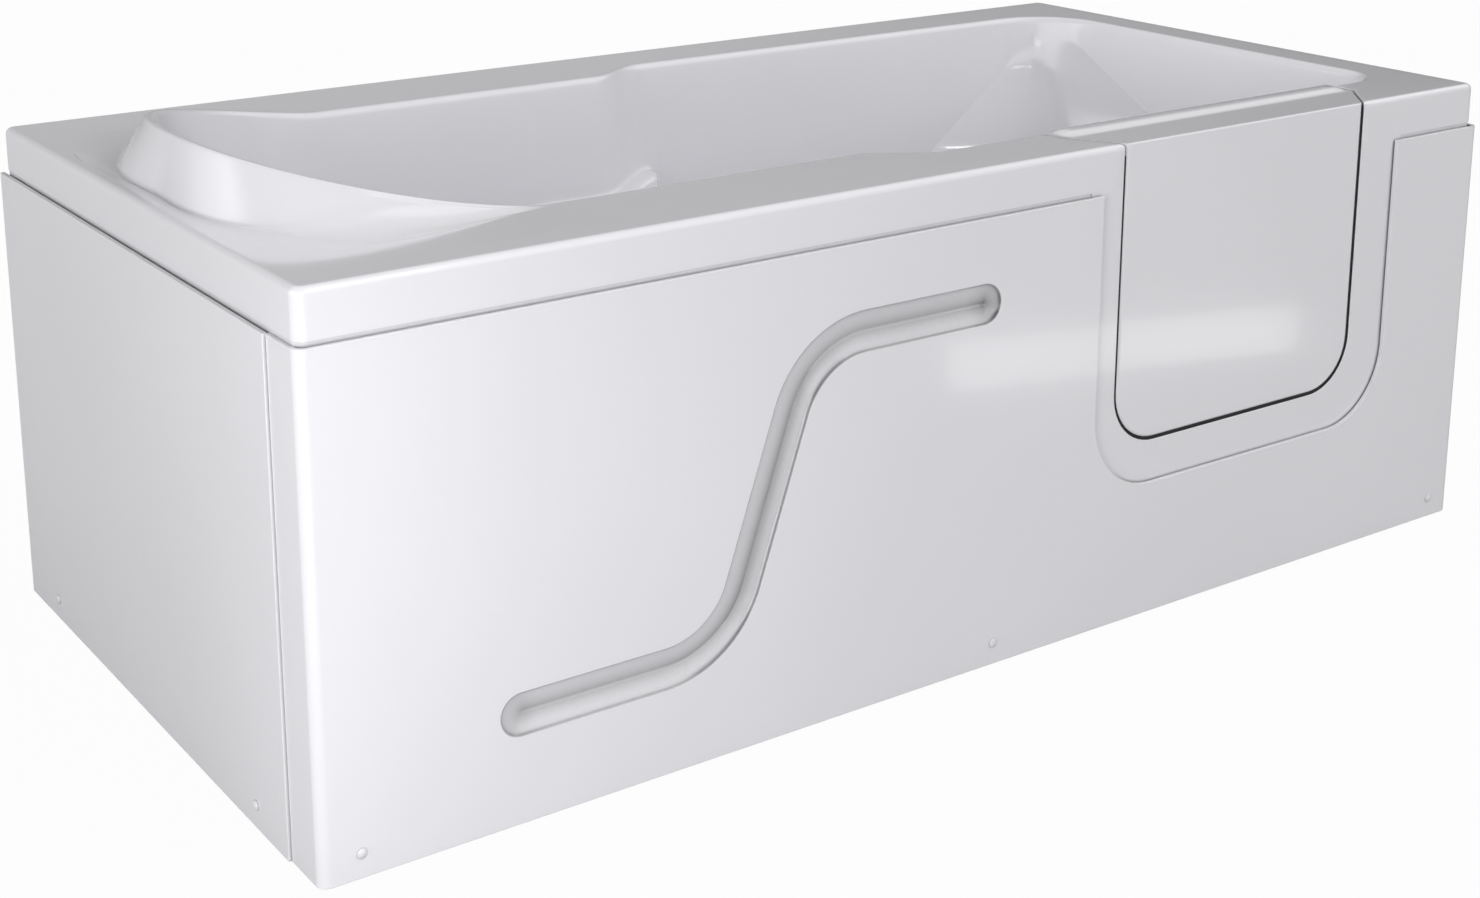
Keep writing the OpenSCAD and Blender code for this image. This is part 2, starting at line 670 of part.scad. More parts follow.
// Section of the groove: two curved walls that meet in a valley, grown by o.
function groove_depth(u) = groove_d * power(1 - abs(u), 0.72);
module groove_half(o) {
    w = groove_w / 2 + o;
    steps = 6;
    polygon(concat([[0, 1]], [[w, 1], [w, 0]],
        [for (i = [steps - 1:-1:0]) [w * i / steps, -groove_depth(i / steps) - o]]));
}
module groove_section(o) {
    groove_half(o);
    mirror([1, 0]) groove_half(o);
}
module groove_path(o) {
    t = groove_r * tan(groove_a / 2);
    rise = groove_high - groove_low;
    run = rise / tan(groove_a);
    p1 = [head_x + groove_s1, groove_low];
    p2 = [door_x0 - groove_lead, groove_high];
    middle = (p1[0] + p2[0]) / 2 + groove_shift;
    q1 = [middle - run / 2, groove_low];
    q2 = [middle + run / 2, groove_high];
    dir = (q2 - q1) / norm(q2 - q1);
    groove_bar(p1, q1 - [t, 0], o);
    groove_bar(q1 + t * dir, q2 - t * dir, o);
    groove_bar(q2 + [t, 0], p2, o);
    for (p = [p1, p2]) translate([p[0], panel_face, p[1]]) rotate([90, 0, 0])
        rotate_extrude() groove_half(o);
    translate([q1[0] - t, panel_face, groove_low + groove_r]) rotate([90, 0, 0])
        rotate([0, 0, -90]) rotate_extrude(angle = groove_a)
            translate([groove_r, 0]) groove_section(o);
    translate([q2[0] + t, panel_face, groove_high - groove_r]) rotate([90, 0, 0])
        rotate([0, 0, 90]) rotate_extrude(angle = groove_a)
            translate([groove_r, 0]) groove_section(o);
}
// A straight piece of groove between two points of the panel's face.
module groove_bar(a, b, o) {
    v = b - a;
    translate([a[0], panel_face, a[1]]) rotate([0, -atan2(v[1], v[0]), 0])
        rotate([90, 0, 90]) linear_extrude(height = norm(v))
            rotate(-90) mirror([0, 1]) groove_section(o);
}

module panel_cut(x0, x1, z0, r) translate([0, front_y + 30, 0]) rotate([90, 0, 0])
    linear_extrude(height = 60) union() {
        translate([x0, z0 + r]) square([x1 - x0, deck_h]);
        translate([x0 + r, z0]) square([x1 - x0 - 2 * r, deck_h]);
        for (x = [x0 + r, x1 - r]) translate([x, z0 + r]) circle(r = r);
    }
// Front panel seen from above: a long face with a return round each corner.
module front_plan() {
    rx = rim_l / 2 + return_proud;
    module block(i) {
        x = rx - i;
        y = panel_face + i;
        r = panel_r - i;
        translate([-x, y + r]) square([2 * x, seam_y - y - r + (i > 0 ? 1 : 0)]);
        translate([-x + r, y]) square([2 * (x - r), r + 1]);
        for (s = [-1, 1]) translate([s * (x - r), y + r]) circle(r = r);
    }
    difference() {
        block(0);
        block(panel_t);
    }
}
module front_panel() color(white) difference() {
    union() {
        difference() {
            translate([0, 0, toe_gap]) linear_extrude(height = panel_top - toe_gap) front_plan();
            panel_cut(door_x0 - band_side, door_x1 + band_side + band_extra,
                door_z - band_low, cut_r);
        }
        intersection() {
            groove_path(panel_t - 1.5);
            translate([-overall_l, panel_face, 0]) cube([2 * overall_l, 60, deck_h]);
        }
    }
    groove_path(0);
    screw_places() translate([0, 0, -10]) cylinder(h = 12, r = screw_r + 0.3);
}
module end_panel(s) color(white) difference() {
    z0 = toe_gap;
    translate([s > 0 ? end_back : -end_face, seam_y + 1, z0])
        cube([panel_t, back_y - seam_y - 1, panel_top - z0]);
    screw_places() translate([0, 0, -10]) cylinder(h = 12, r = screw_r + 0.3);
}
module head_end_panel() end_panel(-1);
module foot_end_panel() end_panel(1);

// --- Door ----------------------------------------------------------------------
module door_outer_skin() color(white) difference() {
    door_plug(0, 0, taper_d, deck_h);
    door_plug(-skin_t, skin_t, taper_d + 1, deck_h - skin_t);
}
ridge_w = door_t - taper_d + 4;
module door_inner_skin() color(white) difference() {
    union() {
        door_plug(0, taper_d + eps, door_t, deck_h);
        // the rounded ridge along the top
        translate([wide_x0 + 14, door_in_y - ridge_w / 2, deck_h])
            rotate([90, 0, 90]) linear_extrude(height = wide_x1 - wide_x0 - 28)
                polygon([for (i = [0:8]) [ridge_w / 2 * cos(22.5 * i),
                    ridge_h * power(sin(22.5 * i), 0.7)]]);
    }
    door_plug(-skin_t, taper_d - 1, door_t - skin_t, deck_h - skin_t);
    // slot for the latch's tongue, and the spindle's hole
    translate([wide_x0 - 1, tongue_y - 6, latch_z - slot_low])
        cube([skin_t + 2, 12, slot_low + tongue_l + 1]);
    translate([latch_x, door_in_y + 1, latch_z]) rotate([90, 0, 0])
        cylinder(h = skin_t + 2, r = spindle_r + running);
    leaf_screw_places(-1) translate([0, 0, -20]) cylinder(h = 30, r = screw_r + running);
}
// Steel frame inside the door that joins the hinges to the latch.
frame_bar = 24;
frame_y0 = door_in_y - skin_t - clear - frame_bar;
module door_frame() color(steel) {
    x0 = wide_x0 + skin_t + 70;
    x1 = wide_x1 - skin_t - clear;
    z0 = wide_z + door_r + flare_latch + 4;
    z1 = deck_h - 34;
    bar = frame_bar;
    for (x = [x0, x1 - bar]) translate([x, frame_y0, z0]) square_tube(z1 - z0, bar);
    for (z = [z0, (z0 + z1 - bar) / 2, z1 - bar])
        translate([x0 + bar, frame_y0, z + bar]) rotate([0, 90, 0])
            square_tube(x1 - x0 - 2 * bar, bar);
}
module door_seal() color(rubber) difference() {
    door_plug(seal_t, seal_in, seal_in + seal_d, deck_h - 15);
    door_plug(eps, seal_in - 1, seal_in + seal_d + 1, deck_h);
}

// --- Hinges ----------------------------------------------------------------------
knuckle = 0.28;  // share of a hinge's length in each outer knuckle
module knuckle_at(z0, h) translate([pivot_x, pivot_y, z0]) cylinder(h = h, r = barrel_r);
module pin_hole() for (z = hinge_z)
    translate([pivot_x, pivot_y, z - hinge_l]) cylinder(h = 2 * hinge_l, r = pin_r + running);
leaf_w = 30;
module door_hinge_leaves() color(steel) difference() {
    for (z = hinge_z) union() {
        translate([pivot_x - barrel_r - leaf_w, door_in_y + eps, z - hinge_l / 2])
            cube([leaf_w + 1, leaf_t, hinge_l]);
        for (e = [z - hinge_l / 2, z + hinge_l * (0.5 - knuckle)]) {
            knuckle_at(e, hinge_l * knuckle);
            translate([pivot_x - barrel_r - 1, door_in_y + eps, e])
                cube([barrel_r, leaf_t + 2, hinge_l * knuckle]);
        }
    }
    pin_hole();
    leaf_screw_places(-1) translate([0, 0, -20]) cylinder(h = 30, r = screw_r + running);
}
module shell_hinge_leaves() color(steel) difference() {
    for (z = hinge_z) let (h = hinge_l * (1 - 2 * knuckle) - 2 * clear) union() {
        translate([pivot_x + barrel_r - 1, door_in_y + eps, z - hinge_l / 2])
            cube([leaf_w, leaf_t, hinge_l]);
        knuckle_at(z - h / 2, h);
        translate([pivot_x + 1, door_in_y + eps, z - h / 2])
            cube([barrel_r, leaf_t + 2, h]);
    }
    pin_hole();
    leaf_screw_places(1) translate([0, 0, -20]) cylinder(h = 30, r = screw_r + running);
}
module hinge_pins() color(steel) for (z = hinge_z)
    translate([pivot_x, pivot_y, z - hinge_l / 2 - 2]) {
        cylinder(h = hinge_l + 4, r = pin_r);
        translate([0, 0, hinge_l + 2 + clear]) cylinder(h = 2.5, r = pin_r + 1.5);
    }
module leaf_screw_places(side) for (z = hinge_z, dz = [-26, 26])
    translate([pivot_x + side * (barrel_r + 18), door_in_y + leaf_t + eps, z + dz])
        rotate([-90, 0, 0]) children();
module leaf_screws(side) leaf_screw_places(side) {
    translate([0, 0, -leaf_t - skin_t + 0.2]) cylinder(h = leaf_t + 4.5, r = screw_r);
    translate([0, 0, clear]) cylinder(h = 1.8, r1 = head_r, r2 = head_r - 0.8);
}
module door_hinge_screws() color(steel) leaf_screws(-1);
module shell_hinge_screws() color(steel) leaf_screws(1);

// --- Latch -------------------------------------------------------------------------
spindle_r = 8;
module latch_housing() color(plastic) difference() {
    translate([latch_x - 16, door_in_y - 40, latch_z - 18]) cube([40, 35.7, 36]);
    // the tongue turns in a slot of its own
    translate([latch_x - 40, tongue_y - 5, latch_z - 15]) cube([60, 10, 56]);
    translate([latch_x, door_in_y + 1, latch_z]) rotate([90, 0, 0])
        cylinder(h = 60, r = spindle_r + running);
}
module latch_spindle() color(steel) difference() {
    translate([latch_x, door_in_y + 14, latch_z]) rotate([90, 0, 0])
        cylinder(h = 52, r = spindle_r);
    translate([latch_x, door_in_y + 15, latch_z]) rotate([90, 0, 0])
        cylinder(h = 8, r = 3);
}
module latch_tongue() color(steel) difference() {
    union() {
        translate([latch_x, tongue_y + 4, latch_z]) rotate([90, 0, 0])
            cylinder(h = 8, r = 13);
        translate([latch_x - 7, tongue_y - 4, latch_z]) cube([14, 8, tongue_l]);
    }
    translate([latch_x, tongue_y + 10, latch_z]) rotate([90, 0, 0])
        cylinder(h = 20, r = spindle_r + eps);
}
// Lever handle on the bather's side.
module latch_handle() color(steel) {
    y0 = door_in_y + 1;
    difference() {
        translate([latch_x, y0 + 26, latch_z]) rotate([90, 0, 0])
            cylinder(h = 26, r1 = 15, r2 = 19);
        translate([latch_x, y0 + 15, latch_z]) rotate([90, 0, 0])
            cylinder(h = 16, r = spindle_r + eps);
    }
    hull() for (x = [0, handle_l])
        translate([latch_x + x, y0 + 32, latch_z]) rotate([90, 0, 0])
            cylinder(h = 11, r = x > 0 ? 9 : 13, $fn = 32);
}
module latch_keep() color(steel) difference() {
    x1 = wide_x0 - jamb_gap - jamb_t;
    translate([x1 - 16, tongue_y - 14, latch_z - 22]) cube([16 - eps, 28, tongue_l + 1]);
    translate([x1 - 12, tongue_y - 4 - clear, latch_z - 8])
        cube([20, 8 + 2 * clear, tongue_l - 21]);
}

// --- Waste and overflow ---------------------------------------------------------------
module at_waste() translate([waste_x, mid_y, floor_z]) children();
module waste_flange() color(steel) at_waste() rotate_extrude() polygon([
    [throat_r - 3, -46], [throat_r, -46], [throat_r, 1], [waste_r, 1],
    [waste_r - 1, 2.5], [throat_r + 5, 4], [throat_r + 3, seat_z], [throat_r - 3, -1]]);
seat_z = 3.6; // height of the plug's conical seat
module waste_washer() color(rubber) at_waste() rotate_extrude()
    translate([throat_r + running, eps]) square([waste_r - throat_r - 3, 1 - 2 * eps]);
body_low = under_z - waste_h;
module waste_body() color(plastic) difference() {
    union() {
        translate([waste_x, mid_y, under_z - 8]) cylinder(h = 8 - eps, r = waste_r);
        translate([waste_x, mid_y, body_low]) cylinder(h = under_z - 8 - body_low, r = throat_r + 5);
        translate([waste_x, mid_y, inlet_z]) rotate([90, 0, 0])
            cylinder(h = throat_r + 30, r = pipe_r + 3);
    }
    translate([waste_x, mid_y, body_low - 1]) cylinder(h = waste_h + 2, r = throat_r + running);
    translate([waste_x, mid_y, inlet_z]) rotate([90, 0, 0])
        cylinder(h = throat_r + 31, r = pipe_r - 3);
    translate([waste_x, mid_y - throat_r - 15, inlet_z]) rotate([90, 0, 0])
        cylinder(h = 40, r = pipe_r + running);
}
inlet_z = rail_z0 - pipe_r - 4;
plug_travel = 10;
module waste_plug() color(steel) at_waste() {
    rotate_extrude() polygon([[0, -1.3], [throat_r - 4, -1.3], [throat_r + 2, 3.3],
        [throat_r + 2, 4.8], [throat_r - 3, 7], [0, 8.4]]);
    translate([0, 0, -40]) cylinder(h = 41, r = 3);
}
shoulder = 5; // how far the outlet's shoulder stands out from the trap's cup
module bath_trap() color(plastic) {
    r = throat_r + 9;
    translate([waste_x, mid_y, body_low - trap_h]) difference() {
        union() {
            cylinder(h = trap_h + 6, r = r);
            translate([0, 0, outlet_r + 4]) rotate([-90, 0, 0]) {
                cylinder(h = outlet_l, r = outlet_r);
                cylinder(h = r + shoulder, r = outlet_r + 3);
            }
        }
        translate([0, 0, 4]) cylinder(h = trap_h + 3, r = throat_r + 5 + running);
        translate([0, r - 12, outlet_r + 4]) rotate([-90, 0, 0])
            cylinder(h = outlet_l, r = outlet_r - 3);
    }
}
module at_overflow() translate([waste_x, door_in_y, overflow_z])
    rotate([-90, 0, 0]) children();
module overflow_washer() color(rubber) at_overflow() difference() {
    translate([0, 0, eps]) cylinder(h = 1.5, r = overflow_r - 2);
    cylinder(h = 9, r = 17, center = true);
}
module overflow_plate() color(steel) at_overflow() rotate_extrude() difference() {
    polygon([[0, 1.6], [overflow_r, 1.6], [overflow_r, 4], [overflow_r - 2, 6], [0, 6]]);
    translate([-1, -9]) square([9 + running, 30]);
}
module overflow_knob() color(steel) at_overflow() difference() {
    union() {
        translate([0, 0, 6.3]) cylinder(h = 9, r1 = overflow_r - 4, r2 = overflow_r - 7);
        translate([0, 0, -28]) cylinder(h = 35, r = 8);
    }
    for (a = [0:40:320]) rotate([0, 0, a]) translate([overflow_r, 0, 5])
        cylinder(h = 12, r = 9);
}
overflow_back = door_in_y - shell_t;
module overflow_body() color(plastic) difference() {
    socket = 40;
    reach = pipe_r + 24;
    union() {
        translate([waste_x, overflow_back - eps, overflow_z]) rotate([90, 0, 0])
            cylinder(h = 8, r = overflow_r - 3);
        translate([waste_x, overflow_back - 2, overflow_z]) rotate([90, 0, 0])
            cylinder(h = reach, r = 23);
        translate([waste_x, pipe_y, overflow_z - socket]) cylinder(h = socket, r = pipe_r + 3);
    }
    translate([waste_x, overflow_back + 1, overflow_z]) rotate([90, 0, 0])
        cylinder(h = reach - 3, r = 19);
    translate([waste_x, pipe_y, overflow_z - socket - 1]) cylinder(h = socket + 1, r = pipe_r - 3);
    translate([waste_x, pipe_y, overflow_z - socket - 1]) cylinder(h = 16, r = pipe_r + running);
}
pipe_y = overflow_back - 24;
// Pipe from the overflow down and across to the waste, with a swept bend.
module overflow_run(r) {
    bend = 40;
    z_top = overflow_z - 26;
    y_end = mid_y - throat_r - 16;
    translate([waste_x, pipe_y, inlet_z + bend])
        cylinder(h = z_top - inlet_z - bend, r = r);
    translate([waste_x, pipe_y + bend, inlet_z]) rotate([-90, 0, 0])
        cylinder(h = y_end - pipe_y - bend, r = r);
    translate([waste_x, pipe_y + bend, inlet_z + bend]) rotate([90, 0, -90])
        rotate([0, 0, -90]) rotate_extrude(angle = 90) translate([bend, 0]) circle(r = r);
}
module overflow_pipe() color(plastic) difference() {
    overflow_run(pipe_r);
    overflow_run(pipe_r - 2.5);
}
// Cable that turns the knob's motion into the plug's lift, clipped to the pipe.
module control_cable() color(rubber) {
    r = 3;
    x = waste_x + pipe_r + 8;
    z1 = overflow_z - 10.5;
    z0 = inlet_z - 2;
    y0 = pipe_y + 8;
    y1 = mid_y - sqrt(pow(throat_r + 5 + r + clear, 2) - pow(x - waste_x, 2));
    rod([x, y0, z1], [x, y0, z0], r);
    rod([x, y0, z0], [x, y1, z0], r);
    for (p = [[x, y0, z1], [x, y0, z0], [x, y1, z0]]) translate(p) sphere(r = r);
}
module rod(a, b, r) {
    v = b - a;
    translate(a) rotate([0, acos(v[2] / norm(v)), atan2(v[1], v[0])])
        cylinder(h = norm(v), r = r);
}

bath_shell();
base_board();
long_rails();
cross_members();
frame_posts();
frame_nuts();
rim_battens();
panel_top_battens();
floor_battens();
foot_1();
foot_2();
foot_3();
foot_4();
foot_5();
foot_6();
front_panel();
head_end_panel();
foot_end_panel();
panel_screws();
screw_caps();
door_outer_skin();
door_inner_skin();
door_frame();
door_seal();
door_hinge_leaves();
shell_hinge_leaves();
hinge_pins();
door_hinge_screws();
shell_hinge_screws();
latch_housing();
latch_spindle();
latch_tongue();
latch_handle();
latch_keep();
waste_flange();
waste_washer();
waste_body();
waste_plug();
bath_trap();
overflow_plate();
overflow_knob();
overflow_washer();
overflow_body();
overflow_pipe();
control_cable();
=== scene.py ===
import math

import bmesh
import bpy
import numpy as np
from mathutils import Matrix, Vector


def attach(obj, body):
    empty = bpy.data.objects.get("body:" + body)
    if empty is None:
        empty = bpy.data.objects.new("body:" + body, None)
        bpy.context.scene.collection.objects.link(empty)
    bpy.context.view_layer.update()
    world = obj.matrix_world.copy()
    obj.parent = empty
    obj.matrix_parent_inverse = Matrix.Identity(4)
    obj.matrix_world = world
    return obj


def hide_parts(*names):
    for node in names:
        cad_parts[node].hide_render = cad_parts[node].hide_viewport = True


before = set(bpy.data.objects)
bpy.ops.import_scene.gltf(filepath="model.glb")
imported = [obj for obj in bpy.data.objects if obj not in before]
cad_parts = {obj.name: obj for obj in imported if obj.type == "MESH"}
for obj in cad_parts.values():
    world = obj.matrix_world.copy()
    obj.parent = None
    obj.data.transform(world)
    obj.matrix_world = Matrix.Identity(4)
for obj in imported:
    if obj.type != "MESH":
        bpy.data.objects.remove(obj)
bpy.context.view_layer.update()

# --- Bath moulding -----------------------------------------------------------
# One sheet of cast acrylic, vacuum-formed over a mould and backed with sprayed glass
# fibre to about 6 mm: rim and skirt, well, elbow ledges, headrest, and the apron
# round the doorway. It is trimmed, and its openings are cut, once it has set.

# In millimetres. The well is drawn in rings: s runs from the rim's head edge, y from
# the centre line and d down from the deck.
HEAD_X, FRONT_Y, BACK_Y, MID_Y, DECK_Z = -843.0, -418.0, 425.0, 3.5, 605.0
RIM_L, RIM_HALF = 1686.0, 421.5
FOOT_S = RIM_L - 69  # the foot wall
WIDE, NARROW = 321.5, 276.5  # half widths of the well at the foot end and at the back
WIDE_S, NARROW_S = 870.5, 726.5  # the well widens between these two
DRAFT = 0.1  # how far the walls lean in for each unit of depth
REST_S, REST_L = 345, 284  # where the headrest's curve starts, and its length
REST_CURVE = 0.851  # exponent of that curve, a little squarer than an ellipse
CREST = 61.0  # the headrest's height over the deck
LEDGE_W = 40  # the elbow ledges' width
CORNER_R = 98  # far foot corner, just under the rim
FLOOR_BEND_D, FLOOR_R = 385, 60  # where the walls turn into the floor
EDGE_R = 8.0  # rounding of the rim's outer edge and of the well's edge
SHELL_T = 6
# points along half the foot wall, round a corner and round a quarter of the headrest
FOOT_N, CORNER_N, REST_N = 10, 29, 48


def ease(a, b, v):
    t = np.clip((np.asarray(v, float) - a) / (b - a), 0, 1)
    return t * t * (3 - 2 * t)


def foot_corner(d, r):
    """The far foot corner at depth d, as distances from the foot wall and the side
    wall: an arc of radius r under the rim, then three flats that widen downwards."""
    def on_arc(degrees, reach):
        a = np.radians(np.clip(degrees, 0, 90))
        return r * np.array([1 - np.cos(a), 1 - np.sin(a)]) + reach

    def steps(a, b, n):
        return a + (b - a) * (np.arange(n) / n)[:, None]

    # the flats' outer creases leave the arc and run along the side wall and the foot
    # wall, and their inner creases are straight lines from the arc down to the ledge
    top_d, bottom_d = 33, 188
    fall = np.clip(d, top_d, bottom_d) - top_d
    turn_a, turn_b = 61 + 0.58 * fall, 22 - 0.88 * fall
    side = on_arc(turn_a, [max(0, 1.345 * (fall - 50)), 0])
    wall = on_arc(turn_b, [0, min(152, max(0, 1.93 * (fall - 25)))])
    run = (side[0] - 0.94 * side[1] - 34.5 + 0.051 * fall) / 1.301
    mid_a = side + max(run, 7) * np.array([-0.909, 0.417])
    run = (mid_a[0] - 0.945 * mid_a[1] - 20.8 + 0.41 * fall) / 1.371
    mid_b = mid_a + run * np.array([-0.669, 0.743])
    past_b = np.array([on_arc(v, [0, 0]) for v in np.linspace(0, min(turn_b, 22), 6)[:-1]])
    past_a = np.array([on_arc(v, [0, 0]) for v in np.linspace(turn_a, 90, 7)[1:]])
    if turn_b <= 0:
        past_b = wall + np.array([0, 2.4]) * np.arange(5, 0, -1)[:, None]
    if turn_a >= 90:
        past_a = side + np.array([2.4, 0]) * np.arange(1, 7)[:, None]
    cut = np.concatenate([past_b, steps(wall, mid_b, 8), steps(mid_b, mid_a, 3),
                          steps(mid_a, side, 7), past_a])
    away = r - cut
    whole = r - away * (r / np.hypot(*away.T))[:, None]
    w = float(ease(10, 34, d))
    return whole * (1 - w) + cut * w


# places round a quarter of the headrest, from its side to its middle
REST_A = np.radians(90 - 90 * np.arange(REST_N) / REST_N)


def half_plan(d, o, low, front):
    """One side of the well's outline at depth d, moved outwards by o: low is 1 under
    the elbow ledge, and front is the door's side."""
    fs = FOOT_S - 0.08 * d + o
    draft = 0 if front else DRAFT
    wy = WIDE - draft * d + o
    if front:
        r = max(34, 58.8 - 0.085 * d) + max(o, 0)
        q = np.linspace(0, 1, CORNER_N) * math.pi / 2
        corner = np.stack([fs - r * (1 - np.cos(q)), wy - r * (1 - np.sin(q))], 1)
        side_s = np.array([1539.5, 1539.5, 1508, 1477.5, 1410, 1330, 1250, 1170, 1100,
                           1052.5, 1020, 990.5, 990.5, 930])
    else:
        corner = [fs, wy] - foot_corner(d, CORNER_R + max(o, 0))
        a_s = corner[-1, 0]
        f = np.array([0.005, 0.03, 0.1, 0.18, 0.27, 0.36, 0.45, 0.54, 0.63, 0.72, 0.81, 0.9])
        side_s = a_s + (WIDE_S - a_s) * f
    foot = np.array([0.08, 0.18, 0.3, 0.42, 0.54, 0.66, 0.78, 0.88, 0.95, 0.985])
    rows = [np.stack([np.full(FOOT_N, fs), corner[0, 1] * foot], 1), corner,
            np.stack([side_s, np.full(len(side_s), wy)], 1)]
    s = np.linspace(WIDE_S, NARROW_S, 28)
    lean = draft + (DRAFT - draft) * np.linspace(0, 1, 28)
    ledge = LEDGE_W * (1 - ease(836.5, 868.5, s))
    y = NARROW + (WIDE - NARROW) * ease(748.5, 848.5, s) - lean * d - low * ledge + o
    rows.append(np.stack([s, y], 1))
    sc = REST_S + 0.35 * max(0, d - 20)
    b = NARROW - DRAFT * d - LEDGE_W * low + o
    s = NARROW_S + (sc - NARROW_S) * np.arange(1, 17) / 17
    rows.append(np.stack([s, np.full(16, b)], 1))
    # the headrest's inside leans back below the deck
    s0 = REST_S - REST_L - o + (0.5 * (d + 62) if d > 20 else 0)
    rows.append(np.stack([sc - (sc - s0) * np.cos(REST_A).clip(0) ** REST_CURVE,
                          b * np.sin(REST_A) ** REST_CURVE], 1))
    return np.concatenate(rows), fs, s0


def grip_height(s):
    """A hump at each ledge's foot end, to push up from."""
    return 18 * ease(738, 850, s) * (1 - np.clip((s - 853) / 17.5, 0, 1))


def crest(s):
    return CREST * (np.clip((REST_S - s) / REST_L, 0, 1)) ** 1.3


back, front = half_plan(0, 0, 0, False)[0], half_plan(0, 0, 0, True)[0]
LIFT = np.concatenate([[0], crest(back[:, 0]), [CREST], crest(front[::-1, 0])])
N_BACK, N_FRONT = len(back), len(front)
N = N_BACK + N_FRONT + 2


def close_ring(back, front, foot_s, head_s, z):
    """Both sides and the middle points at the foot and the head, in place."""
    plan = np.concatenate([[[foot_s, 0]], back, [[head_s, 0]],
                           (front * [1, -1])[::-1]])
    return np.stack([HEAD_X + plan[:, 0], MID_Y + plan[:, 1], np.broadcast_to(z, N)], 1)


def well(d, o=0.0, low=0.0, lift=0.0, grip=0.0):
    """The well's ring at depth d: lift raises its headrest, and grip its humps."""
    b, fs, s0 = half_plan(d, o, low, False)
    f, _, _ = half_plan(d, o, low, True)
    ring = close_ring(b, f, fs, s0, 0)
    ring[:, 2] = DECK_Z - d + lift * LIFT + grip * grip_height(ring[:, 0] - HEAD_X)
    return ring


rings = []
for t in np.radians([0, 12, 24, 36, 48, 60, 75, 90]):
    rings.append(well(FLOOR_BEND_D + FLOOR_R * math.cos(t), FLOOR_R * (math.sin(t) - 1), 1))
for d in (350, 310, 270, 235):
    rings.append(well(d, 0, 1))
# under the ledges, over their rounded edge and up the wall above them
for d, low, grip in ((210, 1, 0.2), (192, 1, 0.55), (183, 1, 0.85), (176, 0.985, 0.95),
                     (170, 0.94, 1), (166, 0.86, 1), (164.4, 0.74, 1), (163.2, 0.45, 1),
                     (162.2, 0.16, 1), (161, 0.07, 1), (158.5, 0.015, 1), (155, 0, 1),
                     (148, 0, 0.85), (136, 0, 0.55), (120, 0, 0.2)):
    rings.append(well(d, 0, low, 0, grip))
for d in (104, 92, 80, 70, 60, 52, 44, 37):
    rings.append(well(d))
top, under = well(EDGE_R, 0, 0, 1), well(37)
for v in (0.8, 0.6, 0.4, 0.2):
    rings.append(top + (under - top) * v)
for t in np.radians([0, 15, 30, 45, 60, 75, 90]):
    rings.append(well(EDGE_R * (1 - math.sin(t)), EDGE_R * (1 - math.cos(t)), 0, 1))

# the headrest's outside and the dish around it, then the deck: rest marks the points
# round the headrest, angle is 0 at its middle and 90 degrees at its sides, and double
# peaks halfway between
rest = np.zeros(N, bool)
head = 1 + N_BACK
rest[head - REST_N:head + 1 + REST_N] = True
angle = np.full(N, math.pi / 2)
angle[head - REST_N:head] = REST_A
angle[head] = 0
angle[head + 1:head + 1 + REST_N] = REST_A[::-1]
sin_a, cos_a = np.sin(angle), np.cos(angle).clip(0)
double = np.abs(np.sin(2 * angle)).clip(0)
side = np.where(np.arange(N) <= N_BACK, 1.0, -1.0)


def rest_ring(o, z):
    """The outline moved outwards by o, an amount for each place along it."""
    ring = well(0)
    s = REST_S - (REST_L + o) * cos_a ** REST_CURVE
    y = (NARROW + o) * sin_a ** REST_CURVE
    ring[:, 0] = np.where(rest, HEAD_X + s, ring[:, 0])
    ring[:, 1] = np.where(rest, MID_Y + side * y, ring[:, 1])
    free = ~rest
    base = well(0, EDGE_R)
    more = np.broadcast_to(o - EDGE_R, N)
    ring[free] = base[free]
    ring[free, 1] += (side * more)[free]
    foot_row = free & (np.abs(base[:, 0] - (HEAD_X + FOOT_S + EDGE_R)) < 0.01)
    ring[foot_row] = base[foot_row]
    ring[foot_row, 0] += more[foot_row]
    q = np.linspace(0, 1, CORNER_N) * math.pi / 2
    near = N - FOOT_N - CORNER_N  # where the foot corner on the door's side starts
    for part, turn in ((slice(1 + FOOT_N, 1 + FOOT_N + CORNER_N), q),
                       (slice(near, near + CORNER_N), q[::-1])):
        ring[part, 0] = base[part, 0] + more[part] * np.cos(turn)
        ring[part, 1] = base[part, 1] + (side * more)[part] * np.sin(turn)
    ring[:, 2] = z
    return ring


# the collar's foot lies this far out from the well's edge, and the dish lies in a
# shallow hollow of 4 mm that ends at bound
foot_o = 12.5 + 14 * cos_a ** 0.5 + 20 * double
drop = 4 * ease(88, 60, np.degrees(angle))
foot = rest_ring(foot_o, DECK_Z - drop)
rim_s = REST_S - 330 * cos_a ** REST_CURVE
rim_y = (NARROW + 68 * double ** 0.8) * sin_a ** 0.2
bound = rest_ring(foot_o + 2.5, DECK_Z)
bound[:, 0] = np.where(rest, np.minimum(HEAD_X + rim_s, bound[:, 0]), bound[:, 0])
bound[:, 1] = np.where(rest, MID_Y + side * np.maximum(rim_y, np.abs(bound[:, 1] - MID_Y)),
                       bound[:, 1])
rings.append(rest_ring(9.6, DECK_Z + LIFT - 0.5 * (LIFT > 0)))
lip = rest_ring(10.8, DECK_Z + LIFT - 2 * np.minimum(1, LIFT / 6))
rings.append(lip)
soft = (0.07 + 0.7 * ease(30, 62, np.degrees(angle)))[:, None]
start, end = foot + (lip - foot) * soft, foot + (bound - foot) * soft
for t in (0.25, 0.5, 0.75):
    p = lip + (start - lip) * t
    p[:, 2] += 1.6 * math.sin(math.pi * t) * np.minimum(1, LIFT / 30)
    rings.append(p)
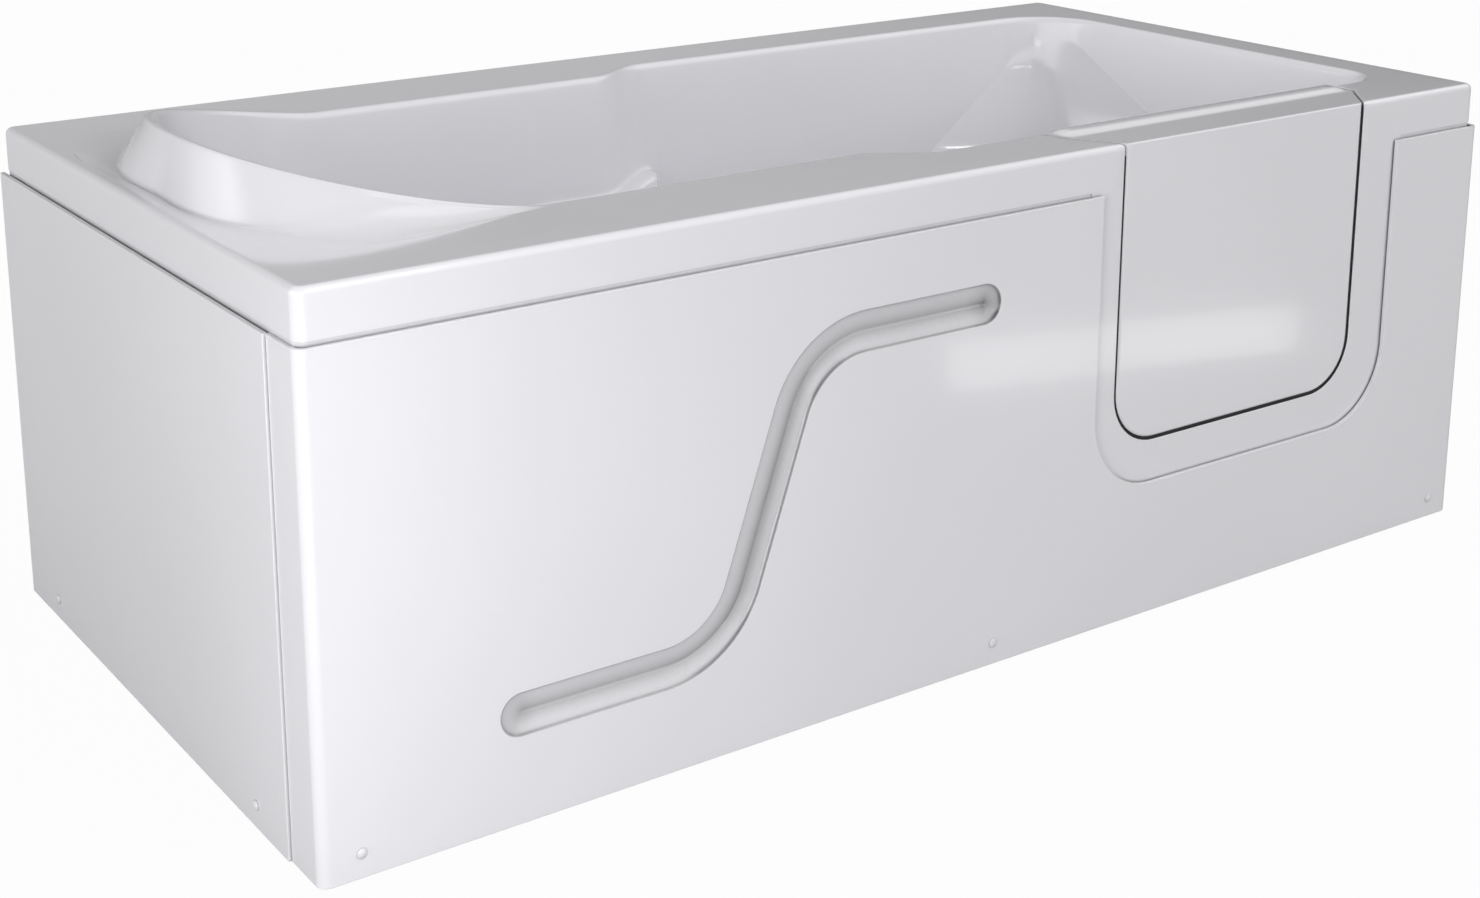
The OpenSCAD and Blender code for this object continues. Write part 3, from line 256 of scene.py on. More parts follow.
for t in (0, 0.17, 0.33, 0.5, 0.67, 0.83, 1):
    rings.append((1 - t) ** 2 * start + 2 * t * (1 - t) * foot + t ** 2 * end)
for t in (0.3, 0.6, 0.85):
    rings.append(end + (bound - end) * t)
rings.append(bound)


def half_rim(inner, i):
    """The rim's outline on one side, inset by i, with a point for each of inner's."""
    c, far, wide = 13.0, RIM_L - i, RIM_HALF - i  # c: the rim's corner radius
    r = c - i
    q = np.linspace(0, 1, 11) * math.pi / 2
    by, a_s = inner[FOOT_N, 1], inner[FOOT_N + CORNER_N - 1, 0]
    edge = np.linspace(by, RIM_HALF - c, 10)[:9]
    side_s = np.linspace(RIM_L - c, a_s, 10)[1:]
    corner = np.concatenate([
        np.stack([np.full(9, far), edge], 1),
        np.stack([RIM_L - c + r * np.cos(q), RIM_HALF - c + r * np.sin(q)], 1),
        np.stack([side_s, np.full(9, wide)], 1)])
    mid = inner[FOOT_N + CORNER_N:-REST_N]
    head_s = REST_S + (c - REST_S) * np.arange(20) / 20
    head_y = (RIM_HALF - c) * (1 - np.arange(1, 18) / 18)
    return np.concatenate([
        np.stack([np.full(FOOT_N, far), inner[:FOOT_N, 1]], 1), corner,
        np.stack([mid[:, 0], np.full(len(mid), wide)], 1),
        np.stack([head_s, np.full(20, wide)], 1),
        np.stack([c - r * np.sin(q), RIM_HALF - c + r * np.cos(q)], 1),
        np.stack([np.full(17, i), head_y], 1)])


def rim_ring(i, z):
    return close_ring(half_rim(back, i), half_rim(front, i), RIM_L - i, i, z)


edge = rim_ring(EDGE_R, DECK_Z)
for t in (0.3, 0.65):
    rings.append(bound + (edge - bound) * t)
for t in np.radians([0, 15, 30, 45, 60, 75, 90]):
    rings.append(rim_ring(EDGE_R * (1 - math.sin(t)), DECK_Z - EDGE_R * (1 - math.cos(t))))

# the skirt, which runs down into the apron behind the front panel: two points lie at
# each of the apron's sides, and the outer one stays with the skirt
SKIRT_Z, APRON_Z, FLANGE_Z = 553.0, 164.0, 540
APRON_X0, APRON_X1, APRON_CUT = 147.5, 696.5, 62
x = rings[-1][:, 0]
apron = (side < 0) & (x > APRON_X0 - 0.1) & (x < APRON_X1 + 0.1)
apron[N - FOOT_N - CORNER_N:] = False
twin = np.flatnonzero((np.abs(x - APRON_X0) < 0.01) | (np.abs(x - APRON_X1) < 0.01))
twin = twin[side[twin] < 0]
apron[twin[0]] = apron[twin[-1]] = False
slant = np.maximum(APRON_X0 + APRON_CUT - x, x - APRON_X1 + APRON_CUT)
low_z = np.where(apron, APRON_Z + np.maximum(0, slant), SKIRT_Z)
keep = np.where(apron, 0.0, 1.0)  # the skirt's rounding leaves the apron out
for z in (580, 566):
    rings.append(rim_ring(0, z))
for drop_z, i in ((0.8, 0), (0.25, 0.2), (0, 0.8)):
    a, b = rim_ring(0, SKIRT_Z + drop_z), rim_ring(i, SKIRT_Z + drop_z)
    rings.append(a + (b - a) * keep[:, None])
# a soft lower edge, from which a thin flange runs down behind the panels
for i, z in ((0.9, 551), (0.9, FLANGE_Z), (SHELL_T, FLANGE_Z)):
    a, b = rim_ring(0 if i < SHELL_T else EDGE_R, SKIRT_Z), rim_ring(i, z)
    soft_z = np.minimum(SKIRT_Z - 0.5, np.maximum(low_z, SKIRT_Z - 1))
    a[:, 2] = low_z if z == FLANGE_Z else soft_z
    rings.append(np.where(apron[:, None], a, b))

# the inside: up the skirt, under the deck and down round the well
n_outside = len(rings) - 1
UNDER_Z = DECK_Z - SHELL_T
for z in (SKIRT_Z, 572, 594):
    ring = np.where(apron[:, None], rim_ring(EDGE_R, 0), rim_ring(SHELL_T, 0))
    ring[:, 2] = z
    rings.append(ring)
a = rest_ring(foot_o + SHELL_T, UNDER_Z - drop)
b = rings[-1] * [1, 1, 0] + [0, 0, UNDER_Z]
for t in (0.03, 0.5):
    p = b + (a - b) * t
    p[:, 2] = UNDER_Z - 5 * t
    rings.append(p)
rings.append(well(13, SHELL_T + 1))
for d in (37, 44, 60, 80, 104, 136):
    rings.append(well(d, SHELL_T))
for d, low in ((161, 0), (168, 0.12), (170, 0.8), (176, 1), (235, 1), (310, 1)):
    rings.append(well(d, SHELL_T, low))
for t in np.radians([90, 70, 50, 30, 15, 0]):
    rings.append(well(FLOOR_BEND_D + (FLOOR_R + SHELL_T) * math.cos(t),
                      (FLOOR_R + SHELL_T) * math.sin(t) - FLOOR_R, 1))


def new_object(name, data):
    obj = bpy.data.objects.new(name, data)
    bpy.context.scene.collection.objects.link(obj)
    return obj


def new_piece(name, bm):
    """An object at the origin from a finished mesh."""
    mesh = bpy.data.meshes.new(name)
    bm.to_mesh(mesh)
    bm.free()
    return new_object(name, mesh)


def loft(name, rings, inside_from=None):
    """A closed solid through rings of points in millimetres, capped at both ends. Its
    inside starts at this ring."""
    n = len(rings[0])
    bm = bmesh.new()
    grid = [[bm.verts.new(p) for p in (np.asarray(r, float) / 1000).tolist()] for r in rings]
    for j in range(len(grid) - 1):
        for i in range(n):
            k = (i + 1) % n
            face = bm.faces.new((grid[j][i], grid[j][k], grid[j + 1][k], grid[j + 1][i]))
            if inside_from is not None and j >= inside_from:
                face.material_index = 1
    bm.faces.new(grid[0])
    bm.faces.new(grid[-1]).material_index = 0 if inside_from is None else 1
    bmesh.ops.remove_doubles(bm, verts=bm.verts, dist=2e-6)
    bmesh.ops.dissolve_degenerate(bm, dist=1e-7, edges=bm.edges)
    bmesh.ops.recalc_face_normals(bm, faces=bm.faces)
    return new_piece(name, bm)


def combine(obj, other, operation):
    """Adds other to obj, or cuts it out, and removes other."""
    mod = obj.modifiers.new("solid", "BOOLEAN")
    mod.object, mod.operation, mod.solver = other, operation, "MANIFOLD"
    bake(obj)
    bpy.data.objects.remove(other)


def bake(obj):
    """Applies the object's modifiers."""
    dg = bpy.context.evaluated_depsgraph_get()
    mesh = bpy.data.meshes.new_from_object(obj.evaluated_get(dg))
    obj.modifiers.clear()
    obj.data = mesh


DOOR_X0, DOOR_X1, DOOR_Z, DOOR_R = 203.5, 614.5, 233, 65  # the doorway at its face
# its sides flare over this depth by so much on the head side and below, and on the foot side
FLARE_D, FLARE_HEAD, FLARE_FOOT = 64, 36, 56


def door_u(depth, o, z1, top_r=0.0):
    """The doorway's outline at a depth behind its face, grown by o, up to z1. With
    top_r, the sides flare out to a rounded edge 20 mm below z1."""
    t = min(1, depth / FLARE_D)
    x0, x1 = DOOR_X0 - FLARE_HEAD * t - o, DOOR_X1 + FLARE_FOOT * t + o
    z0, r = DOOR_Z - FLARE_HEAD * t - o, DOOR_R + FLARE_HEAD * t + o
    q = np.linspace(0, math.pi / 2, 13)
    left = [(top_r, z1)]
    if top_r:
        left += [(top_r * (1 - math.cos(w)), z1 - 20 - top_r * (1 - math.sin(w)))
                 for w in np.radians([90, 67, 45, 22, 0])]
    pts = [(x0 - g, z) for g, z in left]
    pts += [(x0 + r * (1 - math.cos(w)), z0 + r * (1 - math.sin(w))) for w in q]
    pts += [(x1 - r * (1 - math.cos(w)), z0 + r * (1 - math.sin(w))) for w in q[::-1]]
    pts += [(x1 + g, z) for g, z in left[::-1]]
    return np.array([(px, FRONT_Y + depth, pz) for px, pz in pts])


moulding = loft("Bath_moulding", rings, n_outside)

# the jamb is a solid frame round the doorway, whose inner face follows the well's bend
jamb = [door_u(depth, 14, 602) for depth in (1, FLARE_D, 97)]
past = np.maximum(0, DECK_Z - jamb[2][:, 2] - FLOOR_BEND_D)
jamb[2][:, 1] += FLOOR_R - np.sqrt(np.maximum(0, FLOOR_R ** 2 - past ** 2))
combine(moulding, loft("jamb", jamb), "UNION")

# depths and gaps of the doorway's cut, with a rounding at both its faces
mouth = [door_u(depth, gap, 625, 2.5) for depth, gap in (
    (0, 6.6), (0, 6.5), (0.2, 5.7), (0.6, 5.1), (1.2, 4.7), (2, 4.5), (FLARE_D, 6),
    (98, 6), (98.8, 6.2), (99.4, 6.6), (99.8, 7.2), (100, 8), (130, 8))]
mouth[0][:, 1] -= 3
combine(moulding, loft("doorway", mouth), "DIFFERENCE")


def disc(x, y, z, r, n=48, axis="Z"):
    """A ring of n points round an axis."""
    q = np.linspace(0, 2 * math.pi, n, endpoint=False)
    c, s = r * np.cos(q), r * np.sin(q)
    if axis == "Z":
        return np.stack([x + c, y + s, np.full(n, z)], 1)
    if axis == "Y":
        return np.stack([x + c, np.full(n, y), z + s], 1)
    return np.stack([np.full(n, x), y + c, z + s], 1)


TONGUE_Y, TONGUE_Z = -344, 469
WASTE_X, OVERFLOW_Z = 95, 525


def latch_slot(x0, x1, r, rise):
    """A slot across a jamb in which the latch's tongue turns."""
    slot = [disc(px, TONGUE_Y, TONGUE_Z, r, 24, "X") for px in (x0, x1)]
    for ring in slot:
        ring[:, 2] += np.where(ring[:, 2] > TONGUE_Z, rise, 0)
    return loft("slot", slot)


waste_hole = [disc(WASTE_X, MID_Y, z, 26) for z in (140, 175)]
overflow_hole = [disc(WASTE_X, y, OVERFLOW_Z, 20, 48, "Y") for y in (-335, -308)]
combine(moulding, loft("waste_hole", waste_hole), "DIFFERENCE")
combine(moulding, loft("overflow_hole", overflow_hole), "DIFFERENCE")
combine(moulding, latch_slot(151, 171, 6, 62), "DIFFERENCE")


def finish_mesh(obj, sharp=38):
    """Smooth shading, broken at edges sharper than this many degrees."""
    obj.data.shade_smooth()
    obj.data.set_sharp_from_angle(angle=math.radians(sharp))
    mod = obj.modifiers.new("normals", "WEIGHTED_NORMAL")
    mod.keep_sharp = True
    bake(obj)


def linear(code):
    """An sRGB hex colour as the linear one that a shader takes."""
    v = [int(code[i:i + 2], 16) / 255 for i in (1, 3, 5)]
    return [c / 12.92 if c <= 0.04045 else ((c + 0.055) / 1.055) ** 2.4 for c in v] + [1]


def add_node(tree, kind, links=None, settings=None, stops=(), **inputs):
    """A node with its settings, a ramp's stops, its fixed inputs and its links, each
    from a socket or from another node's first output."""
    node = tree.nodes.new(kind)
    for key, value in (settings or {}).items():
        setattr(node, key, value)
    for key, value in inputs.items():
        node.inputs[key.replace("_", " ")].default_value = value
    for key, source in (links or {}).items():
        tree.links.new(getattr(source, "outputs", [source])[0], node.inputs[key])
    if stops:
        marks = node.color_ramp.elements
        while len(marks) < len(stops):
            marks.new(0.5)
        for mark, (pos, tone) in zip(marks, stops):
            mark.position = pos
            mark.color = linear(tone) if isinstance(tone, str) else (tone, tone, tone, 1)
    return node


def start_material(name):
    mat = bpy.data.materials.new(name)
    mat.use_nodes = True
    tree = mat.node_tree
    tree.nodes.clear()
    return mat, tree, add_node(tree, "ShaderNodeTexCoord").outputs["Object"]


def finish_material(tree, colour, smear, rough, relief, strength, height, **shader):
    """Joins a material's patterns to its shader. Smear is a noise, mostly 0.2 to 0.8,
    that varies the roughness, and relief has this strength and height in metres."""
    roughness = add_node(tree, RANGE, {"Value": smear}, SOFT, From_Min=0.2, From_Max=0.8,
                         To_Min=rough[0], To_Max=rough[1])
    normal = add_node(tree, BUMP, relief, Strength=strength, Distance=height)
    shader = add_node(tree, "ShaderNodeBsdfPrincipled",
                      {"Base Color": colour, "Roughness": roughness, "Normal": normal}, **shader)
    add_node(tree, "ShaderNodeOutputMaterial", {"Surface": shader})


NOISE, CELLS, RAMP = "ShaderNodeTexNoise", "ShaderNodeTexVoronoi", "ShaderNodeValToRGB"
RANGE, BUMP, SHADE = "ShaderNodeMapRange", "ShaderNodeBump", "ShaderNodeAmbientOcclusion"
SOFT = {"interpolation_type": "SMOOTHSTEP"}


# Cast acrylic sheet, formed and left unpolished: a deep gloss with a faint unevenness
# from the mould, and painted shade that darkens its colour in nooks and seams. A
# pattern's scale is 1000 over its size in millimetres: the colour drifts over 450 mm
# and the gloss over 170 mm, as the sheet thins where it is drawn, and the mould's waves
# are 140 mm long. The fine orange peel, under 1 mm, is too small to show, so it is
# drawn at 7 mm.
def acrylic(name, dark, light, low, high, wave, nook_from, nook_dark, alone):
    """White acrylic of roughness low to high with waves this high in metres. Painted
    shade darkens the colour of nooks that are open for nook_from or less down to
    nook_dark, and of fine seams; alone counts only the piece's own shape."""
    mat, tree, place = start_material(name)
    drift, smear, swell, peel = (
        add_node(tree, NOISE, {"Vector": place}, Scale=1000 / size, Detail=2.0)
        for size in (454.5, 166.7, 142.9, 7.143))
    colour = add_node(tree, RAMP, {"Fac": drift}, stops=[(0.3, dark), (0.7, light)])
    # Painted shade: ambient occlusion darkens the colour in nooks within 40 mm and in seams within
    # 8 mm.
    painted_nook_shade = add_node(tree, SHADE, None, {"samples": 16, "only_local": alone}, Distance=0.04)
    painted_nook_shade = add_node(tree, RANGE, {"Value": painted_nook_shade.outputs["AO"]}, From_Min=nook_from,
                    From_Max=0.98, To_Min=nook_dark)
    painted_seam_shade = add_node(tree, SHADE, None, {"samples": 4}, Distance=0.008)
    painted_seam_shade = add_node(tree, RANGE, {"Value": painted_seam_shade.outputs["AO"]}, From_Min=0.3,
                    From_Max=0.75, To_Min=0.5)
    painted_nook_shade = add_node(tree, "ShaderNodeMath", {0: painted_nook_shade, 1: painted_seam_shade}, {"operation": "MULTIPLY"})
    colour = add_node(tree, "ShaderNodeVectorMath", {"Vector": colour, "Scale": painted_nook_shade},
                      {"operation": "SCALE"})
    swell = add_node(tree, BUMP, {"Height": swell}, Strength=0.25, Distance=wave)
    finish_material(tree, colour, smear, (low, high), {"Height": peel, "Normal": swell}, 0.35,
                    0.00002, Coat_Weight=0.35, Coat_Roughness=0.05, IOR=1.49)
    return mat


# Painted shade darkens the moulding's colour in its nooks and seams, and where the panels and door
# stand close to it.
gloss = acrylic("Acrylic_white", "#e4e3e7", "#e7e6ea", 0.12, 0.16, 0.0002, 0.4, 0.95, False)

# Glass fibre mat sprayed with resin: matt and off-white, with clots of resin about 38 mm
# across and chopped strands that cross each other every 14 mm.
backing, tree, place = start_material("Glass_fibre")
strands = add_node(tree, CELLS, {"Vector": place}, {"feature": "DISTANCE_TO_EDGE"},
                   Scale=1000 / 14.29)
clots = add_node(tree, NOISE, {"Vector": place}, Scale=1000 / 38.46, Detail=6.0, Roughness=0.7)
colour = add_node(tree, RAMP, {"Fac": clots},
                  stops=[(0.3, "#c9c6b8"), (0.5, "#d8d6ca"), (0.72, "#e2e0d8")])
lumps = add_node(tree, BUMP, {"Height": clots}, Strength=0.6, Distance=0.002)
finish_material(tree, colour, clots, (0.55, 0.8), {"Height": strands, "Normal": lumps}, 0.4,
                0.0006, Specular_IOR_Level=0.35)


def dress(obj, *mats):
    obj.data.materials.clear()
    for mat in mats:
        obj.data.materials.append(mat)


finish_mesh(moulding)
dress(moulding, gloss, backing)
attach(moulding, "bath")
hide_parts("bath_shell")

# --- Battens and base board --------------------------------------------------
# A chipboard board is bonded under the well, and planed softwood battens under the
# rim and on the floor take the screws of the frame and of the panels.


def finish_nodes(mat, *names):
    """Gives parts that keep their built shape a material."""
    for name in names:
        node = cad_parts[name]
        for slot in node.material_slots:
            slot.material = mat
        if not node.material_slots:
            node.data.materials.append(mat)


# Planed softwood: pale brown, with growth rings drawn out along the batten. They are
# about 3 mm apart and too fine to show, so a band of them is drawn every 15 mm, and
# the wood darkens and lightens over 18 mm across.
timber, tree, place = start_material("Softwood")
along = add_node(tree, "ShaderNodeMapping", {"Vector": place}, Scale=(1.2, 14, 14))
warp = add_node(tree, NOISE, {"Vector": along}, Scale=4.0, Detail=4.0, Roughness=0.6)
bands = add_node(tree, "ShaderNodeTexWave", {"Vector": along}, {"bands_direction": "DIAGONAL"},
                 Scale=3.0, Distortion=6.0, Detail=3.0, Detail_Scale=1.5)
grain = add_node(tree, "ShaderNodeMix", {"A": bands.outputs["Fac"], "B": warp}, Factor=0.45)
colour = add_node(tree, RAMP, {"Fac": grain},
                  stops=[(0.25, "#a67c48"), (0.5, "#c7a06a"), (0.8, "#d9b985")])
finish_material(tree, colour, warp, (0.6, 0.8), {"Height": grain}, 0.4, 0.0004,
                Specular_IOR_Level=0.3)
finish_nodes(timber, "rim_battens", "panel_top_battens", "floor_battens")

# Raw chipboard: chips of about 4 mm in several browns, with a dry, pitted face.
chipboard, tree, place = start_material("Chipboard")
chips = add_node(tree, CELLS, {"Vector": place}, Scale=1000 / 3.846).outputs["Color"]
colour = add_node(tree, RAMP, {"Fac": chips},
                  stops=[(0.15, "#8a6b42"), (0.5, "#b6925f"), (0.9, "#d0b07c")])
finish_material(tree, colour, chips, (0.7, 0.9), {"Height": chips}, 0.4, 0.0003,
                Specular_IOR_Level=0.25)
finish_nodes(chipboard, "base_board")

# --- Under-frame and levelling feet ------------------------------------------
# Welded square steel tube, hot-dip galvanised, that carries the bath on six feet:
# each foot is a threaded rod with a pad, screwed through a nut welded to the frame.

# Hot-dip galvanised steel: dull grey, with spangles of about 9 mm and a gloss that
# varies over 25 mm. Its grain, under 1 mm, is too fine to show and is drawn at 4.5 mm.
galvanised, tree, place = start_material("Galvanised_steel")
spangles = add_node(tree, CELLS, {"Vector": place}, Scale=1000 / 9.091).outputs["Color"]
bloom = add_node(tree, NOISE, {"Vector": place}, Scale=1000 / 25, Detail=4.0)
grain = add_node(tree, NOISE, {"Vector": place}, Scale=1000 / 4.545, Detail=3.0)
colour = add_node(tree, RAMP, {"Fac": spangles},
                  stops=[(0.2, "#8f9498"), (0.55, "#a3a8ab"), (0.85, "#b7bbbe")])
finish_material(tree, colour, bloom, (0.38, 0.6), {"Height": grain}, 0.3, 0.0001, Metallic=0.9)
finish_nodes(galvanised, "long_rails", "cross_members", "frame_posts", "frame_nuts",
             "foot_1", "foot_2", "foot_3", "foot_4", "foot_5", "foot_6")

# --- Waste and overflow ------------------------------------------------------
# A chromed flange and pop-up plug over a plastic body and trap, and a chromed plate
# with a turning knob over the overflow body. A pipe joins the two bodies, and a
# sleeved cable runs from the knob to the plug.


def finished_metal(name, dark, light, low, high, stretch):
    """Metal with marks from its finishing, 17 mm long and as many times narrower along
    each axis as stretch says."""
    mat, tree, place = start_material(name)
    place = add_node(tree, "ShaderNodeMapping", {"Vector": place}, Scale=stretch)
    marks = add_node(tree, NOISE, {"Vector": place}, Scale=1000 / 16.67, Detail=5.0,
                     Roughness=0.65)
    colour = add_node(tree, RAMP, {"Fac": marks}, stops=[(0.3, dark), (0.7, light)])
    finish_material(tree, colour, marks, (low, high), {"Height": marks}, 0.4, 0.00003, Metallic=1.0)
    return mat


# Bright chrome over polished brass: nearly a mirror, with soft polishing marks of 17 mm.
chrome = finished_metal("Chrome", "#d4d6d9", "#dddfe2", 0.04, 0.09, (1, 1, 1))
finish_nodes(chrome, "waste_flange", "waste_plug", "overflow_plate", "overflow_knob")

# Moulded rubber: near black and matt, clouded over 33 mm. Its grain, about 0.5 mm, is
# too fine to show and is drawn at 3.3 mm.
rubber, tree, place = start_material("Seal_rubber")
cloud = add_node(tree, NOISE, {"Vector": place}, Scale=1000 / 33.33, Detail=3.0)
grain = add_node(tree, NOISE, {"Vector": place}, Scale=1000 / 3.333, Detail=4.0, Roughness=0.6)
colour = add_node(tree, RAMP, {"Fac": cloud}, stops=[(0.3, "#141416"), (0.7, "#222225")])
finish_material(tree, colour, grain, (0.45, 0.62), {"Height": grain}, 0.4, 0.00006,
                Specular_IOR_Level=0.4)
finish_nodes(rubber, "waste_washer", "overflow_washer")


def plastic(name, dark, light, low, high, grain_size):
    """Plastic with flow marks of about 83 mm and a grain of this size in millimetres,
    coarser than its real 0.5 mm, which is too fine to show."""
    mat, tree, place = start_material(name)
    flow = add_node(tree, NOISE, {"Vector": place}, Scale=1000 / 83.33, Detail=3.0)
    grain = add_node(tree, NOISE, {"Vector": place}, Scale=1000 / grain_size, Detail=3.0)
    colour = add_node(tree, RAMP, {"Fac": flow}, stops=[(0.3, dark), (0.7, light)])
    finish_material(tree, colour, grain, (low, high), {"Height": grain}, 0.35, 0.00004, IOR=1.48)
    return mat


# Injection-moulded pipe plastic: off-white and half matt.
pvc = plastic("Pipe_plastic", "#d3d3d0", "#dddddb", 0.3, 0.45, 5.556)
finish_nodes(pvc, "waste_body", "bath_trap", "overflow_body", "overflow_pipe")

# Extruded cable sleeve: black and slightly rough.
sleeve = plastic("Cable_sleeve", "#1d1d20", "#29292c", 0.4, 0.55, 2.5)
finish_nodes(sleeve, "control_cable")

# --- Door --------------------------------------------------------------------
# A hollow double skin of the same acrylic that flares inwards to plug the doorway:
# flat front, flat band along the top, then a rounded ridge whose ends slope to the
# seams. A galvanised frame inside stiffens it, and a rubber seal runs round its edge.


def door_ring(depth, inset, rise=0.0):
    """One section of the door at a depth behind its face: the U of its edge, then
    back along its top in steps."""
    u = door_u(depth, -inset, DECK_Z - inset)
    x0, x1 = u[0, 0], u[-1, 0]
    t = np.concatenate([[0.004, 0.012, 0.022, 0.035], np.linspace(0.06, 0.94, 23),
                        [0.965, 0.978, 0.988, 0.996]])
    top = np.zeros((len(t), 3))
    top[:, 0] = x1 + (x0 - x1) * t
    top[:, 1] = FRONT_Y + depth
    ends = ease(168.5, 184.5, top[:, 0]) * (1 - ease(653.5, 669.5, top[:, 0]))
    top[:, 2] = DECK_Z - inset + rise * ends
    return np.concatenate([u, top])


def door_body(skin):
    """The door's sections from face to back, or its cavity's when skin is its wall."""
    r, back_r, back_depth, ridge_z = 2.4, 5, 100, 5
    rings = [door_ring(skin, skin + r)]
    for a in np.radians([90, 67, 45, 22, 0]):
        rings.append(door_ring(skin + r * (1 - math.sin(a)), skin + r * (1 - math.cos(a))))

    def ridge(depth):
        fall = 1 - (max(0, depth - 84) / 16) ** 2
        return 0 if skin else ridge_z * float(ease(60, 78, depth)) * math.sqrt(max(0, fall))

    for depth in (8, 20, 40, 56, 60, 61.5, 63, 64, 66, 68, 70, 72, 74, 77, 81, 84, 87, 90, 92.5):
        rings.append(door_ring(depth, skin, ridge(depth)))
    for a in np.radians([0, 22, 45, 67, 90]):
        depth = back_depth - skin - back_r * (1 - math.sin(a))
        rings.append(door_ring(depth, skin + back_r * (1 - math.cos(a)) * 0.8, ridge(depth)))
    return rings


door = loft("Door_shell", door_body(0.0))
combine(door, loft("cavity", door_body(4.0)), "DIFFERENCE")
spindle_hole = [disc(215.5, y, 477, 8.4, 40, "Y") for y in (-326, -310)]
combine(door, latch_slot(160, 180, 5.6, 71), "DIFFERENCE")
combine(door, loft("spindle_hole", spindle_hole), "DIFFERENCE")
finish_mesh(door)
dress(door, gloss)
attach(door, "door")
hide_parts("door_outer_skin", "door_inner_skin")
finish_nodes(galvanised, "door_frame")
finish_nodes(rubber, "door_seal")

# --- Hinges and latch --------------------------------------------------------
# Two hinges of folded stainless sheet with pins, screwed to the door and to the
# doorway. The latch is a chromed lever on a spindle that lifts a tongue out of the
# door's edge, in a nylon housing, and a keep behind the opposite jamb.

# Brushed stainless steel: upright lines and a soft sheen. The lines are about 0.3 mm
# apart and too fine to show, so they are drawn at 1.4 mm.
stainless = finished_metal("Brushed_stainless", "#a9abad", "#c6c8ca", 0.2, 0.36, (12, 12, 1))
finish_nodes(stainless, "door_hinge_leaves", "shell_hinge_leaves", "hinge_pins",
             "door_hinge_screws", "shell_hinge_screws", "latch_keep", "latch_spindle",
             "latch_tongue")
finish_nodes(chrome, "latch_handle")

# Moulded nylon: dark grey, with a fine texture from the tool.
nylon = plastic("Moulded_nylon", "#3a3b3e", "#47484b", 0.4, 0.6, 3.125)
finish_nodes(nylon, "latch_housing")

# --- Front panel -------------------------------------------------------------
# Vacuum-formed acrylic, 5.5 mm thick, with a return round each vertical corner, a
# U-shaped cut-out round the doorway and an S-shaped groove of V section, which
# stiffens it. It is screwed to the battens along its bottom edge.
FACE_Y, PANEL_T, PANEL_R = -425.0, 5.5, 12.0
PANEL_LOW, PANEL_TOP = 4.0, 549.0
LOW_X, LOW_BEND_X, LOW_Z = -623, -449.6, 125  # the groove's low run
HIGH_X, HIGH_BEND_X, HIGH_Z = -18.5, -187.9, 450  # and its high run
CUT_X0, CUT_X1, CUT_R, CUT_Z = 161.5, 682.5, 100, 276  # the cut-out and its corners
FLAT_X, RETURN_Y = 835.0, -358.0  # where the face ends, and the return's edge


def groove_loop(w):
    """Points round the groove's path, w away from it, from the low end's tip."""
    r, bend = 105.0, math.radians(71)
    pts = [(LOW_X + (LOW_BEND_X - LOW_X) * i / 7, LOW_Z, 0) for i in range(7)]
    turn = [bend * i / 18 for i in range(19)]
    pts += [(LOW_BEND_X + r * math.sin(a), LOW_Z + r - r * math.cos(a), a) for a in turn]
    end = [(HIGH_BEND_X - r * math.sin(a), HIGH_Z - r + r * math.cos(a), a)
           for a in turn[::-1]]
    ax, az = pts[-1][:2]
    pts += [(ax + (end[0][0] - ax) * i / 9, az + (end[0][1] - az) * i / 9, bend)
            for i in range(1, 9)]
    pts += end
    pts += [(HIGH_BEND_X + (HIGH_X - HIGH_BEND_X) * i / 7, HIGH_Z, 0) for i in range(1, 8)]
    left = [(x - w * math.sin(a), z + w * math.cos(a)) for x, z, a in pts]
    right = [(x + w * math.sin(a), z - w * math.cos(a)) for x, z, a in pts[::-1]]
    cap = [math.radians(v) for v in range(10, 90, 10)]
    tip_up = [(LOW_X - w * math.cos(a), LOW_Z + w * math.sin(a)) for a in [0] + cap]
    far_up = [(HIGH_X + w * math.sin(a), HIGH_Z + w * math.cos(a)) for a in cap]
    far_low = [(HIGH_X + w * math.cos(a), HIGH_Z - w * math.sin(a)) for a in cap]
    tip_low = [(LOW_X - w * math.sin(a), LOW_Z - w * math.cos(a)) for a in cap]
    return tip_up + left + far_up + [(HIGH_X + w, HIGH_Z)], far_low + right + tip_low


# half widths and depths, from the lip down a steep side to the valley, which lies
# a little towards the foot end and lower than the middle of the lips
GROOVE = [(24.6, 0), (24.2, 0.25), (23.6, 0.9), (22.9, 1.9), (22.1, 3.0), (21, 4.0), (19, 5.0),
          (15, 6.6), (10, 8.5), (5, 10.4), (2, 11.55), (0, 12.2)]
LIP_W = GROOVE[0][0]


